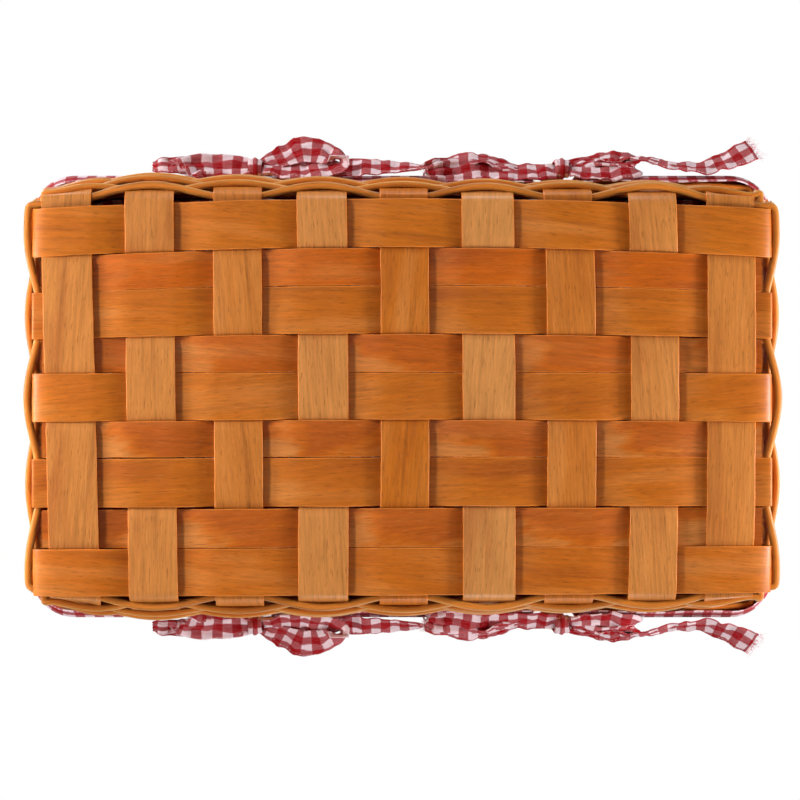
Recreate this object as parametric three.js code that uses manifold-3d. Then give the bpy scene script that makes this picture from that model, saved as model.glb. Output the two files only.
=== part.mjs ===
import * as THREE from "three";
import { mergeVertices } from "three/addons/utils/BufferGeometryUtils.js";
import Module from "manifold-3d";

const wasm = await Module();
wasm.setup();

// Driving dimensions, in millimetres

// Base, plaited from flat chips
const CHIP_THICK = 1.0;
const CROSS_COUNT = 9;
const CROSS_PITCH = 42.5;
const CROSS_WIDTH = 25;
const LONG_COUNT = 5;
const LONG_PITCH = 43.5;
const LONG_WIDTH = 23.2;
const FILLER_OVERHANG = 1.2;

// Wall: a rounded belly above the foot, then a slight lean up to the rim
const WALL_HEIGHT = 180;
const WALL_BELLY = 12;
const BELLY_HEIGHT = 14;
const BELLY_SHARES = [0.29, 0.54, 0.86, 1.29, 1.86, 2.86, 5.36];
const LINING_SHARES = [0.64, 1.57];
const WALL_LEAN = 4;
const FOOT_RADIUS = 2.5;
const CORNER_RADIUS = 1.0;

// Weavers of the wall
const STRAND_THICK = 3.0;
const STRAND_HEIGHT = 5.0;
const STRAND_PITCH = 6.0;
const LOWER_STRANDS = 6;
const FIRST_STRAND = 7.0;
const BAND_THICK = 1.0;
const BAND_COUNT = 3;
const BAND_SPACE = 2.0;
const UPPER_STRANDS = 2;

// Rim
const HOOP_THICK = 4.0;
const HOOP_HEIGHT = 26;
const TACK_RADIUS = 0.9;

// Cloth
const CLOTH_THICK = 1.0;
const LINING_RADIUS = 10;
const CUFF_DROP = 40;
const CUFF_SPREAD = 1.6;
const CUFF_WAVE = 60;
const TIE_THICK = 1.2;
const TIE_WIDTH = 16;
const KNOT_RADIUS = 7;
const LOOP_LENGTH = 46;
const LOOP_SWELL = 6;
const BUNCH_LENGTH = 60;
const TAIL_LENGTHS = [90, 107];
const TAIL_LIFT = 10;
const BOW_SHIFTS = [8, -2];
const STRAP_LAP = 6;

// Handles
const HANDLE_OUTSIDE_COUNT = 2;
const HANDLE_REACH = 160;
const HANDLE_WIDTH = 18;
const HANDLE_THICK = 5;
const HANDLE_BEND = 75;
const HANDLE_TOE = 11;
const HANDLE_MEET = 0.4;
const PIN_RADIUS = 2.4;
const PIN_HEAD_RADIUS = 5.5;
const PIN_HEAD_THICK = 2.2;
const PIN_BURR_RADIUS = 4.5;
const PIN_BURR_THICK = 1.2;
const SPACER_RADIUS = 6.5;

// Clearances
const LAYER_GAP = 0.3;
const SIDE_GAP = 0.4;
const PASS_GAP = 2.4;
const PASS_EASE = 0.3;
const CROSSING_EASE = 1.5;
const WEAVE_GAP = 0.6;
const STAKE_MARGIN = 0.6;
const FIT_GAP = 0.3;
const CUFF_GAP = 0.4;
const LEG_GAP = 0.6;
const SLOT_MARGIN = 3;
const RIM_SPACE = 5.5;
const FOOT_SPACE = 10;

// Sizes that follow from the driving ones
const LEVEL_LOW = CHIP_THICK / 2;
const LEVEL_HIGH = LEVEL_LOW + CHIP_THICK + LAYER_GAP;
const BASE_TOP = LEVEL_HIGH + CHIP_THICK / 2;
const FILLER_WIDTH = LONG_PITCH - LONG_WIDTH - SIDE_GAP - PASS_GAP;
const crossX = (k) => (k - (CROSS_COUNT - 1) / 2) * CROSS_PITCH;
const longY = (i) => (i - (LONG_COUNT - 1) / 2) * LONG_PITCH;
const OUTER_X = crossX(CROSS_COUNT - 1) + CROSS_WIDTH / 2;
const OUTER_Y = longY(LONG_COUNT - 1) + LONG_WIDTH / 2;
const HALF_X = OUTER_X + STAKE_MARGIN + CORNER_RADIUS;
const HALF_Y = OUTER_Y + STAKE_MARGIN + CORNER_RADIUS;
const RIM_BOTTOM = WALL_HEIGHT - HOOP_HEIGHT;
const PIVOT_Z = WALL_HEIGHT - HOOP_HEIGHT / 2;
const LOWER_TOP = FIRST_STRAND + (LOWER_STRANDS - 1) * STRAND_PITCH + STRAND_HEIGHT / 2;
const UPPER_FIRST = RIM_BOTTOM - RIM_SPACE - STRAND_HEIGHT / 2 - (UPPER_STRANDS - 1) * STRAND_PITCH;
const BAND_ROOM = UPPER_FIRST - STRAND_HEIGHT / 2 - LOWER_TOP - (BAND_COUNT + 1) * BAND_SPACE;
const BAND_HEIGHT = BAND_ROOM / BAND_COUNT;
const TACK_CROSS = [0, (CROSS_COUNT - 1) / 2, CROSS_COUNT - 1];
const TACK_LONG = [(LONG_COUNT - 1) / 2];
const HANDLE_SPLINTS = [HANDLE_OUTSIDE_COUNT, CROSS_COUNT - 1 - HANDLE_OUTSIDE_COUNT];
const STAKE_SIDE = CHIP_THICK / 2 + LAYER_GAP;
const HOOP_OUT = STAKE_SIDE + HOOP_THICK;
const CUFF_IN = HOOP_OUT + CUFF_GAP;
const CUFF_OUT = CUFF_IN + CLOTH_THICK + CUFF_SPREAD;
const LEG_IN = CUFF_OUT + LEG_GAP;
const LEG_OUT = LEG_IN + HANDLE_THICK;
const PIN_OUT = LEG_OUT + FIT_GAP + PIN_HEAD_THICK;
const PIN_IN = HOOP_OUT + FIT_GAP + PIN_BURR_THICK;
const LINING_OUT = -(PIN_IN + FIT_GAP);
const LINING_IN = LINING_OUT - CLOTH_THICK;
const CUFF_LOW = WALL_HEIGHT + FIT_GAP;
const CUFF_TOP = CUFF_LOW + CLOTH_THICK;
const CUFF_HEM = WALL_HEIGHT - CUFF_DROP;
const CUFF_SLOT = HANDLE_WIDTH / 2 + SLOT_MARGIN;
const PIN_HOLE = PIN_RADIUS + FIT_GAP;

/** How far the middle of the wall stands out beyond its foot at a height. */
function lean(z) {
  const low = Math.min(z, RIM_BOTTOM);
  return WALL_BELLY * (1 - Math.exp(-low / BELLY_HEIGHT)) + (WALL_LEAN * low) / RIM_BOTTOM;
}

const RIM_X = HALF_X + lean(WALL_HEIGHT);
const RIM_Y = HALF_Y + lean(WALL_HEIGHT);

const FINISH = {
  chip: { color: 0xc98a45, roughness: 0.55 },
  strand: { color: 0xb87a35, roughness: 0.55 },
  hoop: { color: 0xa86d2f, roughness: 0.5 },
  handle: { color: 0xa86d2f, roughness: 0.45 },
  cloth: { color: 0xd98c92, roughness: 0.9 },
  metal: { color: 0xb9a779, roughness: 0.35, metalness: 1 },
};

const basket = new THREE.Group();
basket.name = "picnic_basket";

/** Adds one named piece in its own finish. */
function addPiece(name, geometry, finish, parent = basket) {
  const mesh = new THREE.Mesh(geometry, new THREE.MeshStandardMaterial(FINISH[finish]));
  mesh.name = name;
  parent.add(mesh);
  return mesh;
}

/** A closed solid from points and triangles, with its faces outwards. */
function closedSolid(points, triangles) {
  let volume = 0;
  for (const [a, b, c] of triangles) {
    volume += points[a].dot(new THREE.Vector3().crossVectors(points[b], points[c]));
  }
  const turned = volume < 0 ? triangles.map(([a, b, c]) => [a, c, b]) : triangles;
  const geometry = new THREE.BufferGeometry();
  geometry.setAttribute("position", new THREE.Float32BufferAttribute(points.flatMap((p) => p.toArray()), 3));
  geometry.setIndex(turned.flat());
  geometry.computeVertexNormals();
  return geometry;
}

/** A geometry as a solid for cutting and joining. */
function solidOf(geometry) {
  const bare = geometry.clone();
  bare.deleteAttribute("normal");
  bare.deleteAttribute("uv");
  const merged = mergeVertices(bare, 1e-4);
  const mesh = new wasm.Mesh({
    numProp: 3,
    vertProperties: Float32Array.from(merged.attributes.position.array),
    triVerts: Uint32Array.from(merged.index.array),
  });
  return new wasm.Manifold(mesh);
}

/** A solid as a geometry. */
function geometryOf(solid) {
  const mesh = solid.getMesh();
  const geometry = new THREE.BufferGeometry();
  geometry.setAttribute("position", new THREE.BufferAttribute(Float32Array.from(mesh.vertProperties), 3));
  geometry.setIndex(new THREE.BufferAttribute(Uint32Array.from(mesh.triVerts), 1));
  geometry.computeVertexNormals();
  return geometry;
}

/** A geometry less some others. */
function cut(geometry, tools) {
  if (tools.length === 0) {
    return geometry;
  }
  return geometryOf(tools.reduce((solid, tool) => solid.subtract(solidOf(tool)), solidOf(geometry)));
}

/** A round bar along Y, or along X, through a place. */
function bar(radius, length, place, alongX = false, sides = 12) {
  const geometry = new THREE.CylinderGeometry(radius, radius, length, sides);
  if (alongX) {
    geometry.rotateZ(Math.PI / 2);
  }
  return geometry.translate(...place);
}

/** Replaces the corner b of the path a, b, c by an arc. */
function filletArc(a, b, c, radius, steps) {
  const into = b.clone().sub(a).normalize();
  const out = c.clone().sub(b).normalize();
  const turn = Math.acos(THREE.MathUtils.clamp(into.dot(out), -1, 1));
  const side = Math.sign(into.cross(out));
  const start = b.clone().addScaledVector(into, -radius * Math.tan(turn / 2));
  const centre = start.clone().add(new THREE.Vector2(-into.y, into.x).multiplyScalar(side * radius));
  const arc = [];
  for (let n = 0; n <= steps; n += 1) {
    arc.push(start.clone().rotateAround(centre, (side * turn * n) / steps));
  }
  return arc;
}

/** The outline of a strip of even thickness along a path. */
function stripShape(path, thickness) {
  const left = [];
  const right = [];
  path.forEach((point, n) => {
    const before = point.clone().sub(path[Math.max(n - 1, 0)]);
    const after = path[Math.min(n + 1, path.length - 1)].clone().sub(point);
    const into = (n === 0 ? after : before).clone().normalize();
    const out = (n === path.length - 1 ? before : after).clone().normalize();
    const along = into.clone().add(out).normalize();
    const normal = new THREE.Vector2(-along.y, along.x);
    const reach = thickness / 2 / Math.max(along.dot(into), 0.3);
    left.push(point.clone().addScaledVector(normal, reach));
    right.push(point.clone().addScaledVector(normal, -reach));
  });
  return new THREE.Shape([...left, ...right.reverse()]);
}

/** A strip along a path, with its width centred on the plane of the path. */
function strip(path, thickness, width) {
  const geometry = new THREE.ExtrudeGeometry(stripShape(path, thickness), { depth: width, bevelEnabled: false });
  return geometry.translate(0, 0, -width / 2);
}

/** The half path of a stake from the base, at a level, up to the rim. */
function stakePath(half, level) {
  const foot = new THREE.Vector2(half + lean(level), level);
  const belly = BELLY_SHARES.map((share) => share * BELLY_HEIGHT);
  const heights = [...belly, RIM_BOTTOM, WALL_HEIGHT - FIT_GAP];
  const wall = heights.map((z) => new THREE.Vector2(half + lean(z), z));
  const flat = new THREE.Vector2(half - FOOT_SPACE, level);
  return [...filletArc(flat, foot, wall[0], FOOT_RADIUS, 3), ...wall];
}

/** A half path turned to the other end of the splint. */
function mirrored(path) {
  return path.map((p) => new THREE.Vector2(-p.x, p.y)).reverse();
}

const longIsOver = (i, k) => (i + k) % 2 === 0;
const isEnd = (k) => k === 0 || k === CROSS_COUNT - 1;
const fillerIsOver = (f, k) => !isEnd(k) && longIsOver(f + 1, k);
const isTrimmed = (f, k) => isEnd(k) && longIsOver(f + 1, k);

/** The strips along the base that one cross splint meets: their edges, and whether they lie below it. */
function rowsAt(k) {
  const rows = [];
  for (let i = 0; i < LONG_COUNT; i += 1) {
    const y = longY(i);
    rows.push({ from: y - LONG_WIDTH / 2, to: y + LONG_WIDTH / 2, below: longIsOver(i, k) });
    if (i < LONG_COUNT - 1) {
      const from = y + LONG_WIDTH / 2 + PASS_GAP;
      const trim = isTrimmed(i, k) ? PASS_GAP - SIDE_GAP : 0;
      rows.push({ from, to: from + FILLER_WIDTH - trim, below: fillerIsOver(i, k) });
    }
  }
  return rows;
}

/** The path of a cross splint over and under the strips along the base. */
function crossPath(k) {
  const rows = rowsAt(k);
  const level = (row) => (row.below ? LEVEL_HIGH : LEVEL_LOW);
  const path = mirrored(stakePath(HALF_Y, level(rows[0])));
  rows.slice(1).forEach((row, n) => {
    const last = rows[n];
    if (row.below !== last.below) {
      path.push(new THREE.Vector2(last.to - PASS_EASE, level(last)));
      path.push(new THREE.Vector2(row.from + PASS_EASE, level(row)));
    }
  });
  return [...path, ...stakePath(HALF_Y, level(rows.at(-1)))];
}

/** The points of a strip along the base where it changes level between the cross splints. */
function weavePoints(isOver) {
  const points = [];
  for (let k = 1; k < CROSS_COUNT; k += 1) {
    if (isOver(k) !== isOver(k - 1)) {
      const level = (n) => (isOver(n) ? LEVEL_LOW : LEVEL_HIGH);
      const from = crossX(k - 1) + CROSS_WIDTH / 2 + CROSSING_EASE;
      const to = crossX(k) - CROSS_WIDTH / 2 - CROSSING_EASE;
      points.push(new THREE.Vector2(from, level(k - 1)), new THREE.Vector2(to, level(k)));
    }
  }
  return points;
}

/** Lays a strip drawn in its own plane along X, or along Y. */
function layStrip(geometry, alongX, place) {
  geometry.rotateX(Math.PI / 2);
  if (alongX) {
    return geometry.translate(0, place, 0);
  }
  geometry.rotateZ(Math.PI / 2);
  return geometry.translate(place, 0, 0);
}

/** The holes through both walls at one cross splint. */
function crossHoles(k) {
  const holes = [];
  for (const side of [-1, 1]) {
    const place = [crossX(k), side * RIM_Y, PIVOT_Z];
    if (HANDLE_SPLINTS.includes(k)) {
      holes.push(bar(PIN_HOLE, 4 * HOOP_OUT, place));
    }
    if (TACK_CROSS.includes(k)) {
      holes.push(bar(TACK_RADIUS + FIT_GAP, 4 * HOOP_OUT, place, false, 8));
    }
  }
  return holes;
}

/** The holes through both end walls at one long splint. */
function longHoles(i) {
  if (!TACK_LONG.includes(i)) {
    return [];
  }
  return [-1, 1].map((side) => {
    return bar(TACK_RADIUS + FIT_GAP, 4 * HOOP_OUT, [side * RIM_X, longY(i), PIVOT_Z], true, 8);
  });
}

function addSplints() {
  for (let k = 0; k < CROSS_COUNT; k += 1) {
    const splint = layStrip(strip(crossPath(k), CHIP_THICK, CROSS_WIDTH), false, crossX(k));
    addPiece(`cross_splint_${k + 1}`, cut(splint, crossHoles(k)), "chip");
  }
  for (let i = 0; i < LONG_COUNT; i += 1) {
    const level = longIsOver(i, 0) ? LEVEL_LOW : LEVEL_HIGH;
    const stake = stakePath(HALF_X, level);
    const path = [...mirrored(stake), ...weavePoints((k) => longIsOver(i, k)), ...stake];
    const splint = layStrip(strip(path, CHIP_THICK, LONG_WIDTH), true, longY(i));
    addPiece(`long_splint_${i + 1}`, cut(splint, longHoles(i)), "chip");
  }
  for (let f = 0; f < LONG_COUNT - 1; f += 1) {
    const tip = new THREE.Vector2(OUTER_X + FILLER_OVERHANG, LEVEL_HIGH);
    const path = [new THREE.Vector2(-tip.x, tip.y), ...weavePoints((k) => fillerIsOver(f, k)), tip];
    const from = longY(f) + LONG_WIDTH / 2 + PASS_GAP;
    const splint = layStrip(strip(path, CHIP_THICK, FILLER_WIDTH), true, from + FILLER_WIDTH / 2);
    addPiece(`filler_splint_${f + 1}`, cut(splint, trimTools(f, from + FILLER_WIDTH)), "chip");
  }
}

/** Trims both ends of a filler where the end splint passes between it and the next strip. */
function trimTools(f, edge) {
  if (!isTrimmed(f, 0)) {
    return [];
  }
  const trim = PASS_GAP - SIDE_GAP;
  const length = CROSS_WIDTH + 2 * CROSSING_EASE + 2 * FILLER_OVERHANG;
  return [0, CROSS_COUNT - 1].map((k) => {
    const tool = new THREE.BoxGeometry(length, 2 * trim, 4 * CHIP_THICK);
    return tool.translate(crossX(k), edge, LEVEL_HIGH);
  });
}

/** The 28 stakes in order round the wall, each with its side, its middle and its width. */
function stakesRound() {
  const cross = Array.from({ length: CROSS_COUNT }, (_, k) => ({ mid: crossX(k), width: CROSS_WIDTH }));
  const long = Array.from({ length: LONG_COUNT }, (_, i) => ({ mid: longY(i), width: LONG_WIDTH }));
  return [cross, long, cross, long];
}

/** A place on one side of the wall, counted along the way round it. */
function onSide(side, along) {
  const half = side % 2 === 0 ? HALF_Y : HALF_X;
  const angle = (side * Math.PI) / 2;
  const normal = new THREE.Vector2(0, -1).rotateAround(new THREE.Vector2(), angle);
  const way = new THREE.Vector2(1, 0).rotateAround(new THREE.Vector2(), angle);
  return { place: normal.clone().multiplyScalar(half).addScaledVector(way, along), normal };
}

/** The places on the corner that ends one side, without its two ends. */
function onCorner(side, steps) {
  const along = (side % 2 === 0 ? HALF_X : HALF_Y) - CORNER_RADIUS;
  const { place, normal } = onSide(side, along);
  const centre = place.clone().addScaledVector(normal, -CORNER_RADIUS);
  const places = [];
  for (let n = 1; n < steps; n += 1) {
    const turned = normal.clone().rotateAround(new THREE.Vector2(), (Math.PI / 2) * (n / steps));
    places.push({ place: centre.clone().addScaledVector(turned, CORNER_RADIUS), normal: turned });
  }
  return places;
}

/** The way of a weaver round the wall: places, and whether it is outside (1) or inside (-1) there. */
function weaverWay(phase) {
  const way = [];
  let count = 0;
  stakesRound().forEach((stakes, side) => {
    for (const stake of stakes) {
      const out = (count + phase) % 2 === 0 ? -1 : 1;
      const reach = stake.width / 2 + STAKE_MARGIN;
      way.push({ ...onSide(side, stake.mid - reach), out });
      way.push({ ...onSide(side, stake.mid + reach), out });
      count += 1;
    }
    const last = way.at(-1).out;
    const steps = 4;
    onCorner(side, steps).forEach((spot, n) => {
      way.push({ ...spot, out: last * (1 - (2 * (n + 1)) / steps) });
    });
  });
  return way;
}

/** A point beside a place of the wall, at an offset from its middle and a height. */
function wallPoint({ place, normal }, offset, z) {
  const plan = place.clone().addScaledVector(normal, offset + lean(z));
  return new THREE.Vector3(plan.x, plan.y, z);
}

/** A closed ring from loops of points, one loop for each corner of its section. */
function ringSolid(loops) {
  const count = loops[0].length;
  const triangles = [];
  loops.forEach((loop, m) => {
    const next = (m + 1) % loops.length;
    for (let n = 0; n < count; n += 1) {
      const step = (n + 1) % count;
      triangles.push([m * count + n, m * count + step, next * count + step]);
      triangles.push([m * count + n, next * count + step, next * count + n]);
    }
  });
  return closedSolid(loops.flat(), triangles);
}

/** A weaver with an oblong section, in and out of the stakes. */
function weaver(middle, height, thick, gap, phase) {
  const swing = CHIP_THICK / 2 + gap + thick / 2;
  const way = weaverWay(phase);
  const section = [[-1, -1], [1, -1], [1, 1], [-1, 1]];
  const loops = section.map(([across, up]) => {
    return way.map((spot) => {
      const offset = swing * spot.out + (across * thick) / 2;
      return wallPoint(spot, offset, middle + (up * height) / 2);
    });
  });
  return ringSolid(loops);
}

function addWall() {
  let phase = 0;
  let z = FIRST_STRAND;
  for (let n = 1; n <= LOWER_STRANDS; n += 1) {
    addPiece(`lower_strand_${n}`, weaver(z, STRAND_HEIGHT, STRAND_THICK, WEAVE_GAP, phase), "strand");
    z += STRAND_PITCH;
    phase += 1;
  }
  z = LOWER_TOP + BAND_SPACE + BAND_HEIGHT / 2;
  for (let n = 1; n <= BAND_COUNT; n += 1) {
    addPiece(`wall_band_${n}`, weaver(z, BAND_HEIGHT, BAND_THICK, WEAVE_GAP, phase), "chip");
    z += BAND_HEIGHT + BAND_SPACE;
    phase += 1;
  }
  z = UPPER_FIRST;
  for (let n = 1; n <= UPPER_STRANDS; n += 1) {
    addPiece(`upper_strand_${n}`, weaver(z, STRAND_HEIGHT, STRAND_THICK, WEAVE_GAP, phase), "strand");
    z += STRAND_PITCH;
    phase += 1;
  }
}

/** A rectangle with rounded corners, as points in order. */
function roundedRectangle(halfX, halfY, radius, steps) {
  const points = [];
  const corners = [[1, -1, -90], [1, 1, 0], [-1, 1, 90], [-1, -1, 180]];
  for (const [sx, sy, from] of corners) {
    for (let n = 0; n <= steps; n += 1) {
      const angle = THREE.MathUtils.degToRad(from + (90 * n) / steps);
      const x = sx * (halfX - radius) + radius * Math.cos(angle);
      const y = sy * (halfY - radius) + radius * Math.sin(angle);
      points.push(new THREE.Vector2(x, y));
    }
  }
  return points;
}

/** A flat hoop between two offsets from the middle of the wall. */
function hoop(inner, outer) {
  const outline = (offset) => {
    const radius = CORNER_RADIUS + lean(WALL_HEIGHT) + offset;
    return roundedRectangle(RIM_X + offset, RIM_Y + offset, radius, 5);
  };
  const shape = new THREE.Shape(outline(outer));
  shape.holes.push(new THREE.Path(outline(inner)));
  const geometry = new THREE.ExtrudeGeometry(shape, { depth: HOOP_HEIGHT, bevelEnabled: false });
  return geometry.translate(0, 0, RIM_BOTTOM);
}

function addRim() {
  const holes = [];
  for (let k = 0; k < CROSS_COUNT; k += 1) {
    holes.push(...crossHoles(k));
  }
  for (let i = 0; i < LONG_COUNT; i += 1) {
    holes.push(...longHoles(i));
  }
  addPiece("rim_inner_hoop", cut(hoop(-HOOP_OUT, -STAKE_SIDE), holes), "hoop");
  addPiece("rim_outer_hoop", cut(hoop(STAKE_SIDE, HOOP_OUT), holes), "hoop");
  let n = 0;
  const addTack = (place, alongX) => {
    n += 1;
    addPiece(`rim_tack_${n}`, bar(TACK_RADIUS, 2 * HOOP_OUT, place, alongX, 8), "metal");
  };
  for (const side of [-1, 1]) {
    TACK_CROSS.forEach((k) => addTack([crossX(k), side * RIM_Y, PIVOT_Z], false));
    TACK_LONG.forEach((i) => addTack([side * RIM_X, longY(i), PIVOT_Z], true));
  }
}

function addLining() {
  const floorZ = BASE_TOP + FIT_GAP;
  const outline = (offset, z) => {
    return roundedRectangle(HALF_X + lean(z) + offset, HALF_Y + lean(z) + offset, LINING_RADIUS, 5);
  };
  const floorShape = new THREE.Shape(outline(LINING_IN - FIT_GAP, floorZ));
  const floor = new THREE.ExtrudeGeometry(floorShape, { depth: CLOTH_THICK, bevelEnabled: false });
  addPiece("lining_floor", floor.translate(0, 0, floorZ), "cloth");
  const belly = LINING_SHARES.map((share) => share * BELLY_HEIGHT);
  const heights = [floorZ, ...belly, RIM_BOTTOM, WALL_HEIGHT];
  const loop = (offset) => (z) => outline(offset, z).map((p) => new THREE.Vector3(p.x, p.y, z));
  const loops = [...heights.map(loop(LINING_OUT)), ...[...heights].reverse().map(loop(LINING_IN))];
  addPiece("lining_wall", ringSolid(loops), "cloth");
}

/** The way of a cuff along the rim between two places, each a side and a distance along it. */
function cuffWay(from, to) {
  const way = [];
  let side = from.side;
  let start = from.along;
  for (;;) {
    const corner = (side % 2 === 0 ? HALF_X : HALF_Y) - CORNER_RADIUS;
    const end = side === to.side ? to.along : corner;
    const steps = Math.max(1, Math.round((end - start) / (CUFF_WAVE / 4)));
    for (let n = 0; n <= steps; n += 1) {
      way.push(onSide(side, start + ((end - start) * n) / steps));
    }
    if (side === to.side) {
      return way;
    }
    way.push(...onCorner(side, 5));
    side = (side + 1) % 4;
    start = -((side % 2 === 0 ? HALF_X : HALF_Y) - CORNER_RADIUS);
  }
}

/** A cuff: over the top of the rim and down outside it, with a waved hem. */
function cuff(way) {
  const lengths = [0];
  way.slice(1).forEach((spot, n) => lengths.push(lengths[n] + spot.place.distanceTo(way[n].place)));
  const waves = Math.max(1, Math.round(lengths.at(-1) / CUFF_WAVE));
  const sections = way.map((spot, n) => {
    const phase = (2 * Math.PI * waves * lengths[n]) / lengths.at(-1);
    const swing = CUFF_SPREAD * (0.5 + 0.5 * Math.cos(phase));
    const profile = [
      [LINING_IN, CUFF_LOW],
      [CUFF_IN, CUFF_LOW],
      [CUFF_IN + swing, CUFF_HEM],
      [CUFF_IN + swing + CLOTH_THICK, CUFF_HEM],
      [CUFF_IN + CLOTH_THICK, CUFF_LOW],
      [CUFF_IN + CLOTH_THICK / 2, CUFF_TOP],
      [LINING_IN, CUFF_TOP],
    ];
    return profile.map(([offset, z]) => wallPoint(spot, offset + lean(WALL_HEIGHT) - lean(z), z));
  });
  const size = sections[0].length;
  const triangles = [];
  for (let n = 0; n + 1 < sections.length; n += 1) {
    for (let m = 0; m < size; m += 1) {
      const next = (m + 1) % size;
      triangles.push([n * size + m, (n + 1) * size + m, (n + 1) * size + next]);
      triangles.push([n * size + m, (n + 1) * size + next, n * size + next]);
    }
  }
  const cap = [[0, 1, 6], [1, 5, 6], [1, 4, 5], [1, 2, 4], [2, 3, 4]];
  const last = (sections.length - 1) * size;
  for (const [a, b, c] of cap) {
    triangles.push([a, b, c]);
    triangles.push([last + a, last + c, last + b]);
  }
  return closedSolid(sections.flat(), triangles);
}

function addCuffs() {
  const [left, right] = HANDLE_SPLINTS.map(crossX);
  const panels = {
    cuff_front: [{ side: 0, along: left + CUFF_SLOT }, { side: 0, along: right - CUFF_SLOT }],
    cuff_right: [{ side: 0, along: right + CUFF_SLOT }, { side: 2, along: -right - CUFF_SLOT }],
    cuff_back: [{ side: 2, along: -right + CUFF_SLOT }, { side: 2, along: -left - CUFF_SLOT }],
    cuff_left: [{ side: 2, along: -left + CUFF_SLOT }, { side: 0, along: left - CUFF_SLOT }],
  };
  for (const [name, [from, to]] of Object.entries(panels)) {
    addPiece(name, cuff(cuffWay(from, to)), "cloth");
  }
}

/** A tied bow in plan: straps from both cuffs, a knot, a loop, a bunched loop and a long tail, as one solid. */
function bow(tailLength, strapReach) {
  const knotOut = KNOT_RADIUS;
  const flat = TIE_THICK / 2;
  const strap = [[-strapReach, flat], [-KNOT_RADIUS, flat], [0, knotOut], [KNOT_RADIUS, flat], [strapReach, flat]];
  const loopPath = (length, swell) => {
    const path = [];
    for (let n = 0; n <= 12; n += 1) {
      const angle = (Math.PI * n) / 12;
      const spread = 1.4 * TIE_THICK + swell * Math.sin(angle) ** 2;
      path.push(new THREE.Vector2(length * Math.sin(angle), knotOut - Math.cos(angle) * spread));
    }
    return path;
  };
  const tail = [];
  for (let n = 0; n <= 8; n += 1) {
    const share = n / 8;
    const lift = TAIL_LIFT * share ** 3 + 2 * Math.sin(Math.PI * share * 1.6) + LOOP_SWELL * Math.sin(Math.PI * share);
    tail.push(new THREE.Vector2(tailLength * share, knotOut + lift * share + 3.2 * TIE_THICK * (1 - share)));
  }
  const knot = new THREE.SphereGeometry(1, 10, 6).scale(KNOT_RADIUS, KNOT_RADIUS, TIE_WIDTH / 2 + 1);
  const bodies = [
    knot.translate(0, knotOut, 0),
    strip(loopPath(LOOP_LENGTH, LOOP_SWELL), TIE_THICK, TIE_WIDTH),
    strip(loopPath(-BUNCH_LENGTH, LOOP_SWELL), TIE_THICK, TIE_WIDTH),
    strip(tail, TIE_THICK, TIE_WIDTH),
    strip(strap.map(([x, y]) => new THREE.Vector2(x, y)), TIE_THICK, TIE_WIDTH),
  ];
  return geometryOf(bodies.map(solidOf).reduce((joined, body) => joined.add(body)));
}

function addBows() {
  const z = PIVOT_Z - HANDLE_TOE - 3 - TIE_WIDTH / 2 - 1;
  const names = { "-1": "front", 1: "back" };
  for (const side of [-1, 1]) {
    HANDLE_SPLINTS.forEach((k, n) => {
      const name = `bow_${names[side]}_${n === 0 ? "left" : "right"}`;
      const shift = BOW_SHIFTS[n];
      const strapReach = CUFF_SLOT + Math.abs(shift) + STRAP_LAP;
      const mesh = addPiece(name, bow(TAIL_LENGTHS[n], strapReach), "cloth");
      mesh.scale.y = side;
      mesh.position.set(crossX(k) + shift, side * (RIM_Y + CUFF_OUT + FIT_GAP), z);
    });
  }
}

/** A bent handle in its own frame: the axis of its pins along Y through the origin, its top along +Z. */
function handle() {
  const side = RIM_Y + LEG_IN + HANDLE_THICK / 2;
  const top = HANDLE_REACH - HANDLE_THICK / 2;
  const bend = HANDLE_BEND - HANDLE_THICK / 2;
  const toe = new THREE.Vector2(-side, -HANDLE_TOE);
  const shoulder = new THREE.Vector2(-side, top);
  const half = [toe, ...filletArc(toe, shoulder, new THREE.Vector2(0, top), bend, 8)];
  const path = [...half, ...half.map((p) => new THREE.Vector2(-p.x, p.y)).reverse()];
  const bent = strip(path, HANDLE_THICK, HANDLE_WIDTH).rotateX(Math.PI / 2).rotateZ(Math.PI / 2);
  const silhouette = new THREE.Shape();
  const round = HANDLE_WIDTH / 2;
  silhouette.moveTo(round, 2 * HANDLE_REACH);
  silhouette.lineTo(-round, 2 * HANDLE_REACH);
  silhouette.lineTo(-round, round - HANDLE_TOE);
  silhouette.absarc(0, round - HANDLE_TOE, round, Math.PI, 2 * Math.PI, false);
  const depth = 2 * (side + HANDLE_WIDTH);
  const prism = new THREE.ExtrudeGeometry(silhouette, { depth, bevelEnabled: false, curveSegments: 8 });
  prism.translate(0, 0, -depth / 2).rotateX(Math.PI / 2);
  const hole = bar(PIN_HOLE, depth, [0, 0, 0]);
  return geometryOf(solidOf(bent).intersect(solidOf(prism)).subtract(solidOf(hole)));
}

/** The angle at which the two handles lean together and meet over the middle. */
function meetingAngle(pivot) {
  const span = Math.hypot(HANDLE_REACH, HANDLE_WIDTH / 2);
  return Math.asin((pivot - HANDLE_MEET / 2) / span) - Math.atan2(HANDLE_WIDTH / 2, HANDLE_REACH);
}

/** A turned solid about Y from a closed profile of radius and distance. */
function turned(profile, sides = 12) {
  return new THREE.LatheGeometry(profile.map(([r, y]) => new THREE.Vector2(r, y)), sides);
}

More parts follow.
